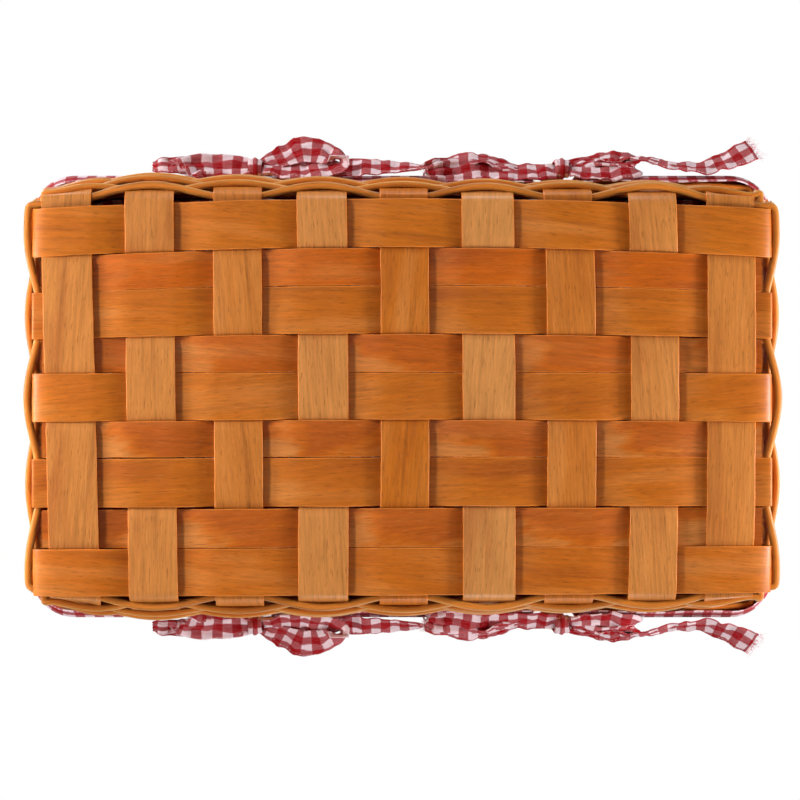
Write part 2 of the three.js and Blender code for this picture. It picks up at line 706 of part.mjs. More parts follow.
/** A pivot pin about Y: head outside the leg, shank, burr inside the inner hoop. */
function pivotPin() {
  const profile = [
    [0, -PIN_IN],
    [PIN_BURR_RADIUS, -PIN_IN],
    [PIN_BURR_RADIUS, PIN_BURR_THICK - PIN_IN],
    [PIN_RADIUS, PIN_BURR_THICK - PIN_IN],
    [PIN_RADIUS, PIN_OUT - PIN_HEAD_THICK],
    [PIN_HEAD_RADIUS, PIN_OUT - PIN_HEAD_THICK],
    [0.75 * PIN_HEAD_RADIUS, PIN_OUT - 0.3 * PIN_HEAD_THICK],
    [0, PIN_OUT],
  ];
  return turned(profile);
}

/** A spacer about Y between the outer hoop and the leg of a handle. */
function pivotSpacer() {
  const low = HOOP_OUT + FIT_GAP;
  const high = LEG_IN - FIT_GAP;
  const profile = [[PIN_HOLE, low], [SPACER_RADIUS, low], [SPACER_RADIUS, high], [PIN_HOLE, high], [PIN_HOLE, low]];
  return turned(profile);
}

function addHandles() {
  HANDLE_SPLINTS.forEach((k, n) => {
    const word = n === 0 ? "left" : "right";
    const inward = n === 0 ? 1 : -1;
    const swing = new THREE.Group();
    swing.position.set(crossX(k), 0, PIVOT_Z);
    swing.rotation.y = inward * meetingAngle(Math.abs(crossX(k)));
    addPiece(`handle_${word}`, handle(), "handle", swing);
    basket.add(swing);
    for (const side of [-1, 1]) {
      const place = side < 0 ? "front" : "back";
      for (const [kind, geometry, finish] of [["pin", pivotPin(), "metal"], ["spacer", pivotSpacer(), "handle"]]) {
        const mesh = addPiece(`pivot_${kind}_${place}_${word}`, geometry, finish);
        mesh.rotation.z = side < 0 ? Math.PI : 0;
        mesh.position.set(crossX(k), side * RIM_Y, PIVOT_Z);
      }
    }
  });
}

addSplints();
addWall();
addRim();
addLining();
addCuffs();
addBows();
addHandles();

export default basket;
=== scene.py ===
"""Dresses a plaited picnic basket, and sets up the studio for a picture of its underside."""

import logging
import math
from dataclasses import dataclass, replace
from enum import Enum
from functools import partial
from typing import Callable, Sequence

import bpy
import numpy as np
from mathutils import Matrix, Vector, noise


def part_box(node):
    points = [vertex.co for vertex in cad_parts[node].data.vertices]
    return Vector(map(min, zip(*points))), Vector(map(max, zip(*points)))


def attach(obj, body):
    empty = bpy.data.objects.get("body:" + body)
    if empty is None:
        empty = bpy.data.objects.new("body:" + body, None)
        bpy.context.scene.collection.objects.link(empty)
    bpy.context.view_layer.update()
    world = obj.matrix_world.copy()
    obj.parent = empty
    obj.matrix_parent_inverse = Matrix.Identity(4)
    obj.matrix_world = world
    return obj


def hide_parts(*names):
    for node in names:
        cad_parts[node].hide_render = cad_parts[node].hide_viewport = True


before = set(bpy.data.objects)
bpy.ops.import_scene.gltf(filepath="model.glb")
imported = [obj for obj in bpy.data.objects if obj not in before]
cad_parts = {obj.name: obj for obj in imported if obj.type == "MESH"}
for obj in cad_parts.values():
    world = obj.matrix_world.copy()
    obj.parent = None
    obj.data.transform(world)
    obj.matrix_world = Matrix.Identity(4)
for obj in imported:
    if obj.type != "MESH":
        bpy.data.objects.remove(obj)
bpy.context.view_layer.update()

LOG = logging.getLogger("basket")
MM = 0.001

Material = bpy.types.Material
Mesh = bpy.types.Mesh
Object = bpy.types.Object
Colour = tuple[float, float, float, float]
Point = tuple[float, float, float]
Pair = tuple[float, float]


class GrainSource(Enum):
    """Where a wood finish takes the direction of its grain from."""

    STRIP = "the length of a strip"
    BLOCK = "the object's own axes"


class Side(Enum):
    """The long wall on which a bow sits, as the sign of Y."""

    FRONT = -1
    BACK = 1


def shade(red: int, green: int, blue: int) -> Colour:
    """Turn a colour as seen on a screen into the linear one that shaders take.

    Args:
        red: Red, 0 to 255.
        green: Green, 0 to 255.
        blue: Blue, 0 to 255.

    Returns:
        The linear colour.
    """
    steps = [value / 255 for value in (red, green, blue)]
    linear = [s / 12.92 if s <= 0.04045 else ((s + 0.055) / 1.055) ** 2.4 for s in steps]
    return (linear[0], linear[1], linear[2], 1.0)


def math_method(operation: str, turned: bool = False) -> Callable[["Signal", "Signal | float"], "Signal"]:
    """Make the method that turns an operator into a Math node.

    Args:
        operation: The Math node's operation.
        turned: Whether the other term comes first.

    Returns:
        The method.
    """

    def method(self: "Signal", other: "Signal | float") -> "Signal":
        """Add the Math node."""
        return self.math(operation, *((other, self) if turned else (self, other)))

    return method


class Signal:
    """An output of a node, on which Python's operators add Math nodes."""

    __add__ = math_method("ADD")
    __radd__ = math_method("ADD", True)
    __sub__ = math_method("SUBTRACT")
    __rsub__ = math_method("SUBTRACT", True)
    __mul__ = math_method("MULTIPLY")
    __truediv__ = math_method("DIVIDE")
    __pow__ = math_method("POWER")
    most = math_method("MAXIMUM")

    def __init__(self, sheet: "NodeSheet", socket: bpy.types.NodeSocket) -> None:
        """Keep the sheet of nodes and the socket."""
        self.sheet = sheet
        self.socket = socket

    def output(self, name: str) -> "Signal":
        """Give another output of the same node."""
        return Signal(self.sheet, self.socket.node.outputs[name])

    def math(self, operation: str, *terms: "Signal | float") -> "Signal":
        """Add a Math node on these terms."""
        return self.sheet.add("ShaderNodeMath", {"operation": operation}, dict(enumerate(terms)))

    def __neg__(self) -> "Signal":
        """Turn the sign."""
        return self.math("MULTIPLY", self, -1.0)

    def __abs__(self) -> "Signal":
        """Drop the sign."""
        return self.math("ABSOLUTE", self)

    def sine(self) -> "Signal":
        """Take the sine."""
        return self.math("SINE", self)

    def sign(self) -> "Signal":
        """Give -1, 0 or 1."""
        return self.math("SIGN", self)

    def step(self, low: float, high: float) -> "Signal":
        """Rise smoothly from 0 at low to 1 at high."""
        limits = {"Value": self, "From Min": low, "From Max": high}
        return self.sheet.add("ShaderNodeMapRange", {"interpolation_type": "SMOOTHSTEP"}, limits)


class NodeSheet:
    """A node tree that is written as Python expressions."""

    def __init__(self, tree: bpy.types.NodeTree) -> None:
        """Keep the tree."""
        self.tree = tree

    def add(
        self,
        kind: str,
        settings: dict[str, object] | None = None,
        inputs: dict[str | int, object] | None = None,
        out: str | int = 0,
    ) -> Signal:
        """Add a node.

        Args:
            kind: The node's type.
            settings: Properties of the node, set first.
            inputs: Numbers or signals for its sockets, by name or place.
            out: The output to give back.

        Returns:
            That output.
        """
        node = self.tree.nodes.new(kind)
        for name, value in (settings or {}).items():
            setattr(node, name, value)
        for key, value in (inputs or {}).items():
            if isinstance(value, Signal):
                self.tree.links.new(value.socket, node.inputs[key])
            else:
                node.inputs[key].default_value = value
        return Signal(self, node.outputs[out])

    def join(self, x: Signal | float, y: Signal | float, z: Signal | float) -> Signal:
        """Make a vector of three numbers."""
        return self.add("ShaderNodeCombineXYZ", None, {"X": x, "Y": y, "Z": z})

    def split(self, vector: Signal) -> tuple[Signal, Signal, Signal]:
        """Take a vector apart."""
        x = self.add("ShaderNodeSeparateXYZ", None, {0: vector})
        return x, x.output("Y"), x.output("Z")

    def cloud(self, place: Signal, scale: float, detail: float = 2.0, rough: float = 0.5) -> Signal:
        """Give noise from 0 to 1 at a place.

        Args:
            place: The vector that the noise reads.
            scale: How often it changes.
            detail: How many finer layers it has.
            rough: How strong these are.

        Returns:
            The noise.
        """
        values = {"Vector": place, "Scale": scale, "Detail": detail, "Roughness": rough}
        return self.add("ShaderNodeTexNoise", {"noise_dimensions": "3D"}, values)

    def blend(self, share: Signal | float, first: object, second: object) -> Signal:
        """Mix two colours, with a share of the second."""
        settings = {"data_type": "RGBA", "blend_type": "MIX"}
        return self.add("ShaderNodeMix", settings, {0: share, 6: first, 7: second}, 2)

    def tint(self, colour: Signal, value: Signal) -> Signal:
        """Multiply a colour, or any vector, by a number."""
        return self.add("ShaderNodeVectorMath", {"operation": "SCALE"}, {0: colour, "Scale": value})


class ShaderSheet(NodeSheet):
    """The nodes of one material."""

    def __init__(self, name: str) -> None:
        """Start an empty material.

        Args:
            name: The material's name.
        """
        self.material = bpy.data.materials.new(name)
        self.material.use_nodes = True
        self.material.node_tree.nodes.clear()
        super().__init__(self.material.node_tree)

    def attribute(self, name: str) -> tuple[Signal, Signal, Signal]:
        """Read an attribute of the mesh as three numbers."""
        return self.split(self.add("ShaderNodeAttribute", {"attribute_name": name}, None, "Vector"))

    def bump(self, height: Signal, strength: float, depth: float) -> Signal:
        """Turn a height into a normal."""
        values = {"Strength": strength, "Distance": depth, "Height": height}
        return self.add("ShaderNodeBump", None, values)

    def glossy(self, inputs: dict[str | int, object]) -> Signal:
        """Add the main shader."""
        return self.add("ShaderNodeBsdfPrincipled", None, inputs)

    def surface(self, shader: Signal) -> Material:
        """Give the shader to the output, and the material back.

        Args:
            shader: The whole shader.

        Returns:
            The material.
        """
        output = self.tree.nodes.new("ShaderNodeOutputMaterial")
        self.tree.links.new(shader.socket, output.inputs["Surface"])
        return self.material


@dataclass(frozen=True)
class WoodFinish:
    """Stained wood, with slanting fibres, pores, sapwood, heartwood and dark streaks; bright cut edges that
    are partly a painted highlight; and a painted sheen and painted shade across each woven segment.
    """

    name: str
    warm: Colour
    body: Colour
    pale: Colour
    dark: Colour
    # The heart colour marks real heartwood patches, and also the painted shade on one side of each woven
    # segment.
    heart_and_shade: Colour
    # Colour of the edge band: partly the cut edges' own colour, partly a painted highlight along the
    # rounded edges.
    cut: Colour = shade(226, 128, 44)
    roughness: float = 0.4
    streak_count: float = 260.0
    streak_depth: float = 0.45
    # Pitch of the painted sheen and shade, equal to the spacing of the woven segments.
    sheen_pitch: float = 0.0854
    gloss: float = 0.3
    source: GrainSource = GrainSource.STRIP

    def material(self) -> Material:
        """Build the material.

        Returns:
            The material.
        """
        sheet = ShaderSheet(self.name)
        if self.source is GrainSource.STRIP:
            along, across, seed = sheet.attribute("grain")
            # The mark's third value scales the painted sheen and shade of each segment.
            tone, edge, sheen_and_shade_share = sheet.attribute("mark")
        else:
            place = sheet.add("ShaderNodeTexCoord", None, None, "Object")
            across, along, seed = sheet.split(place)
            tone = edge = sheen_and_shade_share = seed * 0.0
        fibre = across + along * (seed * 7.7).sine() * 0.09
        fine = sheet.cloud(sheet.join(along * 42.0, fibre * 620.0, seed * 91.0), 1.0, 5.0, 0.8)
        streak = sheet.cloud(sheet.join(along * 8.0, fibre * self.streak_count, seed * 37.0), 1.0, 4.0, 0.6)
        broad = sheet.cloud(sheet.join(along * 9.0, fibre * 60.0, seed * 13.0), 1.0, 2.0)
        pore = sheet.cloud(sheet.join(along * 150.0, fibre * 1300.0, seed * 7.0), 1.0, 1.0)
        speck = sheet.cloud(sheet.join(along * 110.0, across * 260.0, seed * 53.0), 1.0, 1.0)
        # Painted sheen and shade: swing repeats once per woven segment, so one side of each segment is
        # painted pale as if lit and the other heart-dark as if shaded; swirl and the slant across the width
        # bend the boundary like wood figure.
        drift = along * 34.0 + across * 40.0
        swirl = sheet.cloud(sheet.join(drift, across * 60.0, seed * 71.0), 1.0, 3.0, 0.55)
        swing = (along * (math.tau / self.sheen_pitch) + (seed - 21.0) * math.pi + 0.63).sine()
        figure_and_sheen = swing * 0.45 + (swirl - 0.5) * 2.4 - across * 34.0
        colour = sheet.blend(tone.step(0.0, 1.0), self.warm, self.body)
        colour = sheet.blend(tone.step(1.0, 2.0), colour, self.pale)
        colour = sheet.blend(broad.step(0.5, 0.72) * 0.35, colour, self.pale)
        colour = sheet.blend(broad.step(0.46, 0.28) * 0.4, colour, self.heart_and_shade)
        # Painted shade in the heart colour and painted sheen in the pale colour, mixed with heartwood
        # figure.
        colour = sheet.blend(figure_and_sheen.step(-0.15, 0.2) * sheen_and_shade_share * 0.7, colour, self.heart_and_shade)
        colour = sheet.blend(figure_and_sheen.step(-0.05, -0.5) * sheen_and_shade_share * 0.75, colour, self.pale)
        colour = sheet.blend(streak.step(0.5, 0.8) * self.streak_depth, colour, self.dark)
        colour = sheet.blend(pore.step(0.6, 0.74) * 0.45, colour, self.dark)
        colour = sheet.blend(pore.step(0.38, 0.26) * 0.25, colour, self.pale)
        colour = sheet.blend(speck.step(0.8, 0.84) * 0.7, colour, self.dark)
        # Edge band on both sides of the width: partly cut-edge colour, partly a painted highlight.
        colour = sheet.blend(edge.step(0.945, 0.975) * 0.8, colour, self.cut)
        colour = sheet.tint(colour, 0.3 + fine * 1.1 + broad * 0.3)
        return sheet.surface(
            sheet.glossy(
                {
                    "Base Color": colour,
                    "Roughness": self.roughness - 0.08 + fine * 0.16,
                    "Normal": sheet.bump(fine * 0.7 + streak * 0.5 - pore * 0.4, 0.4, 0.3 * MM),
                    "Specular IOR Level": self.gloss,
                }
            )
        )


@dataclass(frozen=True)
class CheckedCloth:
    """Cotton woven in two colours of thread, so that its checks have a mixed third colour."""

    name: str = "checked_cotton"
    thread: Colour = shade(168, 5, 18)
    ground: Colour = shade(246, 220, 226)
    check: float = 5.3 * MM
    thread_pitch: float = 0.5 * MM

    def material(self) -> Material:
        """Build the material.

        Returns:
            The material.
        """
        sheet = ShaderSheet(self.name)
        place = sheet.add("ShaderNodeUVMap", {"uv_map": "cloth"})
        wander = sheet.cloud(place, 700.0, 3.0) - 0.5
        along, across, _ = sheet.split(place)
        turn = math.pi / self.check
        warp = ((along + wander * 0.0009) * turn).sine().step(-0.16, 0.16)
        weft = ((across + wander * 0.0009) * turn).sine().step(-0.16, 0.16)
        fine = math.pi / self.thread_pitch
        threads = (along * fine).sine() * (across * fine).sine()
        over = threads.step(-0.7, 0.7)
        mixed = warp * over + weft * (1.0 - over)
        share = mixed * 0.26 + (warp + weft - warp * weft) * 0.74
        slub = sheet.cloud(sheet.join(along * 300.0, across * 2600.0, 0.0), 1.0, 2.0)
        # Painted fold shade: broad noise that darkens and lightens the cloth in patches, in place of the
        # shade of its folds.
        painted_fold_shade = sheet.cloud(place, 160.0, 3.0)
        colour = sheet.blend(share * 0.98 + (slub - 0.5) * 0.3, self.ground, self.thread)
        colour = sheet.tint(colour, 0.78 + painted_fold_shade * 0.4)
        height = abs(threads) + slub * 0.6
        return sheet.surface(
            sheet.glossy(
                {
                    "Base Color": colour,
                    "Roughness": 0.8 + slub * 0.15,
                    "Normal": sheet.bump(height, 0.4, 0.25 * MM),
                    "Specular IOR Level": 0.1,
                }
            )
        )


@dataclass(frozen=True)
class Thread:
    """Loose or sewn cotton thread."""

    name: str = "cotton_thread"
    pale: Colour = shade(238, 226, 230)
    dyed: Colour = shade(205, 70, 84)

    def material(self) -> Material:
        """Build the material.

        Returns:
            The material.
        """
        sheet = ShaderSheet(self.name)
        place = sheet.add("ShaderNodeTexCoord", None, None, "Object")
        mix = sheet.cloud(place, 420.0, 2.0)
        ply = sheet.cloud(place, 2400.0, 1.0)
        colour = sheet.blend(mix.step(0.46, 0.6), self.pale, self.dyed)
        colour = sheet.tint(colour, 0.85 + ply * 0.3)
        normal = sheet.bump(ply, 0.3, 0.1 * MM)
        inputs = {"Base Color": colour, "Roughness": 0.75 + ply * 0.2, "Normal": normal}
        return sheet.surface(sheet.glossy(inputs))


@dataclass(frozen=True)
class DullBrass:
    """Brass with tarnish in patches and fine wear."""

    name: str = "dull_brass"
    bright: Colour = (0.68, 0.5, 0.24, 1.0)
    tarnish: Colour = (0.22, 0.14, 0.07, 1.0)

    def material(self) -> Material:
        """Build the material.

        Returns:
            The material.
        """
        sheet = ShaderSheet(self.name)
        place = sheet.add("ShaderNodeTexCoord", None, None, "Object")
        patch = sheet.cloud(place, 380.0, 4.0, 0.6)
        wear = sheet.cloud(place, 2600.0, 2.0)
        colour = sheet.blend(patch.step(0.45, 0.75) * 0.7, self.bright, self.tarnish)
        inputs = {
            "Base Color": colour,
            "Metallic": 1.0,
            "Roughness": 0.28 + patch * 0.25,
            "Normal": sheet.bump(wear, 0.15, 0.1 * MM),
        }
        return sheet.surface(sheet.glossy(inputs))


@dataclass(frozen=True)
class StudioFloor:
    """A pale floor that shows from above only, so that the base can be seen from below, and fades out."""

    name: str = "studio_floor"
    tone: Colour = (0.86, 0.86, 0.86, 1.0)
    fade_start: float = 0.5
    fade_end: float = 1.25

    def material(self) -> Material:
        """Build the material.

        Returns:
            The material.
        """
        sheet = ShaderSheet(self.name)
        seen = sheet.add("ShaderNodeLightPath", None, None, "Is Camera Ray")
        behind = sheet.add("ShaderNodeNewGeometry", None, None, "Backfacing")
        place = sheet.add("ShaderNodeTexCoord", None, None, "Object")
        speckle = sheet.cloud(place, 40.0, 3.0)
        colour = sheet.blend(speckle * 0.12, self.tone, (0.8, 0.8, 0.8, 1.0))
        matt = sheet.glossy({"Base Color": colour, "Roughness": 0.9, "Specular IOR Level": 0.1})
        clear = sheet.add("ShaderNodeBsdfTransparent")
        away = sheet.add("ShaderNodeVectorMath", {"operation": "LENGTH"}, {0: place}, "Value")
        share = seen * (1.0 - behind) * away.step(self.fade_end, self.fade_start)
        return sheet.surface(sheet.add("ShaderNodeMixShader", None, {0: share, 1: clear, 2: matt}))


class GeometrySheet(NodeSheet):
    """A Geometry Nodes tree with named inputs, and the way to turn it into plain meshes."""

    def __init__(self, name: str, inputs: dict[str, str]) -> None:
        """Start the tree.

        Args:
            name: The tree's name.
            inputs: The socket type of each named input.
        """
        tree = bpy.data.node_groups.new(name, "GeometryNodeTree")
        tree.interface.new_socket("Geometry", in_out="INPUT", socket_type="NodeSocketGeometry")
        for label, kind in inputs.items():
            tree.interface.new_socket(label, in_out="INPUT", socket_type=kind)
        tree.interface.new_socket("Geometry", in_out="OUTPUT", socket_type="NodeSocketGeometry")
        super().__init__(tree)
        self.entry = tree.nodes.new("NodeGroupInput")

    def given(self, label: str) -> Signal:
        """Give a named input."""
        return Signal(self, self.entry.outputs[label])

    def stored(self, name: str, kind: str) -> Signal:
        """Read a named attribute."""
        return self.add("GeometryNodeInputNamedAttribute", {"data_type": kind}, {"Name": name})

    def store(self, geometry: Signal, name: str, kind: str, value: Signal) -> Signal:
        """Write a named attribute on the points.

        Args:
            geometry: The geometry to write on.
            name: The attribute's name.
            kind: Its data type.
            value: What is written.

        Returns:
            The geometry with the attribute.
        """
        settings = {"data_type": kind, "domain": "POINT"}
        inputs = {"Geometry": geometry, "Name": name, "Value": value}
        return self.add("GeometryNodeStoreNamedAttribute", settings, inputs)

    def capture(self, geometry: Signal, kind: str, value: Signal) -> tuple[Signal, Signal]:
        """Keep a value of this stage.

        Args:
            geometry: The geometry that the value is read on.
            kind: FLOAT or VECTOR.
            value: The value.

        Returns:
            The geometry and the kept value.
        """
        node = self.tree.nodes.new("GeometryNodeCaptureAttribute")
        node.capture_items.new(kind, "Kept")
        self.tree.links.new(geometry.socket, node.inputs["Geometry"])
        self.tree.links.new(value.socket, node.inputs[1])
        return Signal(self, node.outputs["Geometry"]), Signal(self, node.outputs[1])

    def vector(self, operation: str, first: object, second: object) -> Signal:
        """Add a Vector Math node on two vectors."""
        return self.add("ShaderNodeVectorMath", {"operation": operation}, {0: first, 1: second})

    def chance(self, low: float, high: float, seed: Signal) -> Signal:
        """Give a random number for each point."""
        inputs = {2: low, 3: high, "Seed": seed}
        return self.add("FunctionNodeRandomValue", {"data_type": "FLOAT"}, inputs, 1)

    def close(self, geometry: Signal) -> "GeometrySheet":
        """End the tree in Realize Instances and Set Material, and give it back.

        Args:
            geometry: The last stage of the tree.

        Returns:
            The tree.
        """
        real = self.add("GeometryNodeRealizeInstances", None, {"Geometry": geometry})
        inputs = {"Geometry": real, "Material": self.given("Material")}
        dressed = self.add("GeometryNodeSetMaterial", None, inputs)
        output = self.tree.nodes.new("NodeGroupOutput")
        self.tree.links.new(dressed.socket, output.inputs["Geometry"])
        return self

    def piece(self, name: str, start: Mesh, values: dict[str, object]) -> Object:
        """Run the tree on a mesh and keep the result as a plain mesh.

        Args:
            name: The piece's name.
            start: The path or points that the tree works on.
            values: Values for the named inputs.

        Returns:
            The piece.
        """
        made = bpy.data.objects.new(name, start)
        bpy.context.scene.collection.objects.link(made)
        modifier = made.modifiers.new("tree", "NODES")
        modifier.node_group = self.tree
        for item in self.tree.interface.items_tree:
            if item.in_out == "INPUT" and item.name in values:
                modifier[item.identifier] = values[item.name]
        graph = bpy.context.evaluated_depsgraph_get()
        plain = bpy.data.meshes.new_from_object(made.evaluated_get(graph), depsgraph=graph)
        made.modifiers.remove(modifier)
        made.data = plain
        bpy.data.meshes.remove(start)
        return made


def strip_tree() -> GeometrySheet:
    """Build the tree that sweeps a flat or rounded strip along a path.

    Returns:
        The tree.
    """
    names = ["Width", "Thickness", "Edge", "Crown", "Ragged", "Seed", "Tone", "HeartAndShade"]
    kinds = {name: "NodeSocketFloat" for name in names}
    kinds.update({"Sides": "NodeSocketInt", "Material": "NodeSocketMaterial"})
    sheet = GeometrySheet("strip_along_path", kinds)
    curve = sheet.add("GeometryNodeMeshToCurve", None, {"Mesh": sheet.given("Geometry")})
    across = sheet.stored("across", "FLOAT_VECTOR")
    inputs = {"Curve": curve, "Normal": across}
    curve = sheet.add("GeometryNodeSetCurveNormal", {"mode": "FREE"}, inputs)
    length = sheet.add("GeometryNodeSplineParameter", None, None, "Length")
    whole = sheet.add("GeometryNodeSplineLength", None, None, "Length")
    curve, run = sheet.capture(curve, "FLOAT", length - whole * 0.5)
    inputs = {"Resolution": sheet.given("Sides"), "Radius": 1.0}
    ring = sheet.add("GeometryNodeCurvePrimitiveCircle", None, inputs)
    x, y, _ = sheet.split(sheet.add("GeometryNodeInputPosition"))
    wide = x.sign() * abs(x) ** sheet.given("Edge") * sheet.given("Width") * 0.5
    thick = y.sign() * abs(y) ** sheet.given("Crown") * sheet.given("Thickness") * 0.5
    inputs = {"Geometry": ring, "Position": sheet.join(wide, thick, 0.0)}
    ring = sheet.add("GeometryNodeSetPosition", None, inputs)
    ring, place = sheet.capture(ring, "VECTOR", sheet.add("GeometryNodeInputPosition"))
    sweep = {"Curve": curve, "Profile Curve": ring, "Fill Caps": True}
    strip = sheet.add("GeometryNodeCurveToMesh", None, sweep)
    spot, depth, _ = sheet.split(place)
    share = spot / (sheet.given("Width") * 0.5)
    seed = sheet.given("Seed")
    ragged = sheet.cloud(sheet.join(run * 45.0, share.sign() * 3.0 + seed, seed), 1.0, 4.0, 0.6)
    shift = (ragged - 0.5) * sheet.given("Ragged") * share
    shift = shift + spot * (sheet.stored("taper", "FLOAT") - 1.0)
    shift = sheet.tint(across, shift)
    strip = sheet.add("GeometryNodeSetPosition", None, {"Geometry": strip, "Offset": shift})
    strip = sheet.store(strip, "grain", "FLOAT_VECTOR", sheet.join(run, spot + depth, seed))
    # The mark carries the tone, the distance from the middle of the width, and the share of heartwood
    # figure with painted sheen and shade.
    mark = sheet.join(sheet.given("Tone"), abs(share), sheet.given("HeartAndShade"))
    strip = sheet.store(strip, "mark", "FLOAT_VECTOR", mark)
    return sheet.close(sheet.add("GeometryNodeSetShadeSmooth", None, {"Geometry": strip}))


def stitch_tree() -> GeometrySheet:
    """Build the tree that sews a line of stitches along a path.

    Returns:
        The tree.
    """
    kinds = {name: "NodeSocketFloat" for name in ["Pitch", "Length", "Thickness"]}
    sheet = GeometrySheet("stitches", {**kinds, "Seed": "NodeSocketInt", "Material": "NodeSocketMaterial"})
    curve = sheet.add("GeometryNodeMeshToCurve", None, {"Mesh": sheet.given("Geometry")})
    inputs = {"Curve": curve, "Length": sheet.given("Pitch")}
    points = sheet.add("GeometryNodeCurveToPoints", {"mode": "LENGTH"}, inputs, "Points")
    inputs = {"Vector": points.output("Tangent")}
    turn = sheet.add("FunctionNodeAlignRotationToVector", {"axis": "Z"}, inputs)
    bead = sheet.add("GeometryNodeMeshUVSphere", None, {"Segments": 6, "Rings": 4, "Radius": 0.5})
    stretch = sheet.chance(0.85, 1.1, sheet.given("Seed"))
    thick = sheet.given("Thickness")
    size = sheet.join(thick, thick, sheet.given("Length") * stretch)
    inputs = {"Points": points, "Instance": bead, "Rotation": turn, "Scale": size}
    return sheet.close(sheet.add("GeometryNodeInstanceOnPoints", None, inputs))


def fringe_tree() -> GeometrySheet:
    """Build the tree that sets loose fibres along a cut edge.

    Returns:
        The tree.
    """
    kinds = {name: "NodeSocketFloat" for name in ["Length", "Thickness", "Spread"]}
    whole = {"Count": "NodeSocketInt", "Seed": "NodeSocketInt"}
    sheet = GeometrySheet("fringe", {**kinds, **whole, "Material": "NodeSocketMaterial"})
    curve = sheet.add("GeometryNodeMeshToCurve", None, {"Mesh": sheet.given("Geometry")})
    inputs = {"Curve": curve, "Count": sheet.given("Count")}
    points = sheet.add("GeometryNodeCurveToPoints", {"mode": "COUNT"}, inputs, "Points")
    seed = sheet.given("Seed")
    jitter = sheet.join(*(sheet.chance(-1.0, 1.0, seed + n) for n in (1, 2, 3)))
    jitter = sheet.tint(jitter, sheet.given("Spread"))
    out = sheet.vector("ADD", sheet.stored("outward", "FLOAT_VECTOR"), jitter)
    turn = sheet.add("FunctionNodeAlignRotationToVector", {"axis": "Z"}, {"Vector": out})
    inputs = {"Vertices": 4, "Side Segments": 3, "Radius Top": 0.2, "Radius Bottom": 0.5, "Depth": 1.0}
    fibre = sheet.add("GeometryNodeMeshCone", None, inputs)
    thick = sheet.given("Thickness")
    size = sheet.join(thick, thick, sheet.given("Length") * sheet.chance(0.3, 1.0, seed))
    inputs = {"Points": points, "Instance": fibre, "Rotation": turn, "Scale": size}
    tuft = sheet.add("GeometryNodeInstanceOnPoints", None, inputs)
    tuft = sheet.add("GeometryNodeRealizeInstances", None, {"Geometry": tuft})
    pale = sheet.store(tuft, "mark", "FLOAT_VECTOR", sheet.join(2.0, 1.0, 0.0))
    return sheet.close(pale)


def rivet_tree() -> GeometrySheet:
    """Build the tree that sets a domed rivet with its burr on each point.

    Returns:
        The tree.
    """
    names = ["Head", "Dome", "Shank", "Burr", "Length"]
    kinds = {name: "NodeSocketFloat" for name in names}
    sheet = GeometrySheet("rivets", {**kinds, "Material": "NodeSocketMaterial"})
    head = sheet.add("GeometryNodeMeshUVSphere", None, {"Segments": 24, "Rings": 16, "Radius": 1.0})
    size = sheet.join(sheet.given("Head"), sheet.given("Head"), sheet.given("Dome"))
    head = sheet.add("GeometryNodeTransform", None, {"Geometry": head, "Scale": size})
    inputs = {"Vertices": 16, "Radius": sheet.given("Shank"), "Depth": sheet.given("Length")}
    shank = sheet.add("GeometryNodeMeshCylinder", None, inputs)
    place = sheet.join(0.0, 0.0, sheet.given("Length") * -0.5)
    shank = sheet.add("GeometryNodeTransform", None, {"Geometry": shank, "Translation": place})
    burr = sheet.add("GeometryNodeMeshUVSphere", None, {"Segments": 20, "Rings": 10, "Radius": 1.0})
    size = sheet.join(sheet.given("Burr"), sheet.given("Burr"), sheet.given("Dome") * 0.5)
    inputs = {"Geometry": burr, "Scale": size, "Translation": sheet.join(0.0, 0.0, -sheet.given("Length"))}
    burr = sheet.add("GeometryNodeTransform", None, inputs)
    whole = sheet.add("GeometryNodeJoinGeometry", None, {"Geometry": head})
    for part in (shank, burr):
        sheet.tree.links.new(part.socket, whole.socket.node.inputs["Geometry"])
    whole = sheet.add("GeometryNodeSetShadeSmooth", None, {"Geometry": whole})
    inputs = {"Vector": sheet.stored("outward", "FLOAT_VECTOR")}
    turn = sheet.add("FunctionNodeAlignRotationToVector", {"axis": "Z"}, inputs)
    inputs = {"Points": sheet.given("Geometry"), "Instance": whole, "Rotation": turn}
    return sheet.close(sheet.add("GeometryNodeInstanceOnPoints", None, inputs))


def path_mesh(
    points: np.ndarray,
    vectors: dict[str, np.ndarray],
    closed: bool = False,
    taper: np.ndarray | None = None,
) -> Mesh:
    """Make a path of edges for a tree to work on.

    Args:
        points: The path's points, in metres.
        vectors: Vector attributes, one row for each point.
        closed: Whether the path is a ring.
        taper: The share of the full width at each point.

    Returns:
        The mesh.
    """
    count = len(points)
    edges = [(n, n + 1) for n in range(count - 1)]
    if closed:
        edges.append((count - 1, 0))
    mesh = bpy.data.meshes.new("path")
    mesh.from_pydata([tuple(p) for p in points], edges, [])
    for name, rows in vectors.items():
        attribute = mesh.attributes.new(name, "FLOAT_VECTOR", "POINT")
        attribute.data.foreach_set("vector", np.asarray(rows, dtype=np.float32).ravel())
    attribute = mesh.attributes.new("taper", "FLOAT", "POINT")
    shares = np.ones(count) if taper is None else taper
    attribute.data.foreach_set("value", np.asarray(shares, dtype=np.float32))
    return mesh


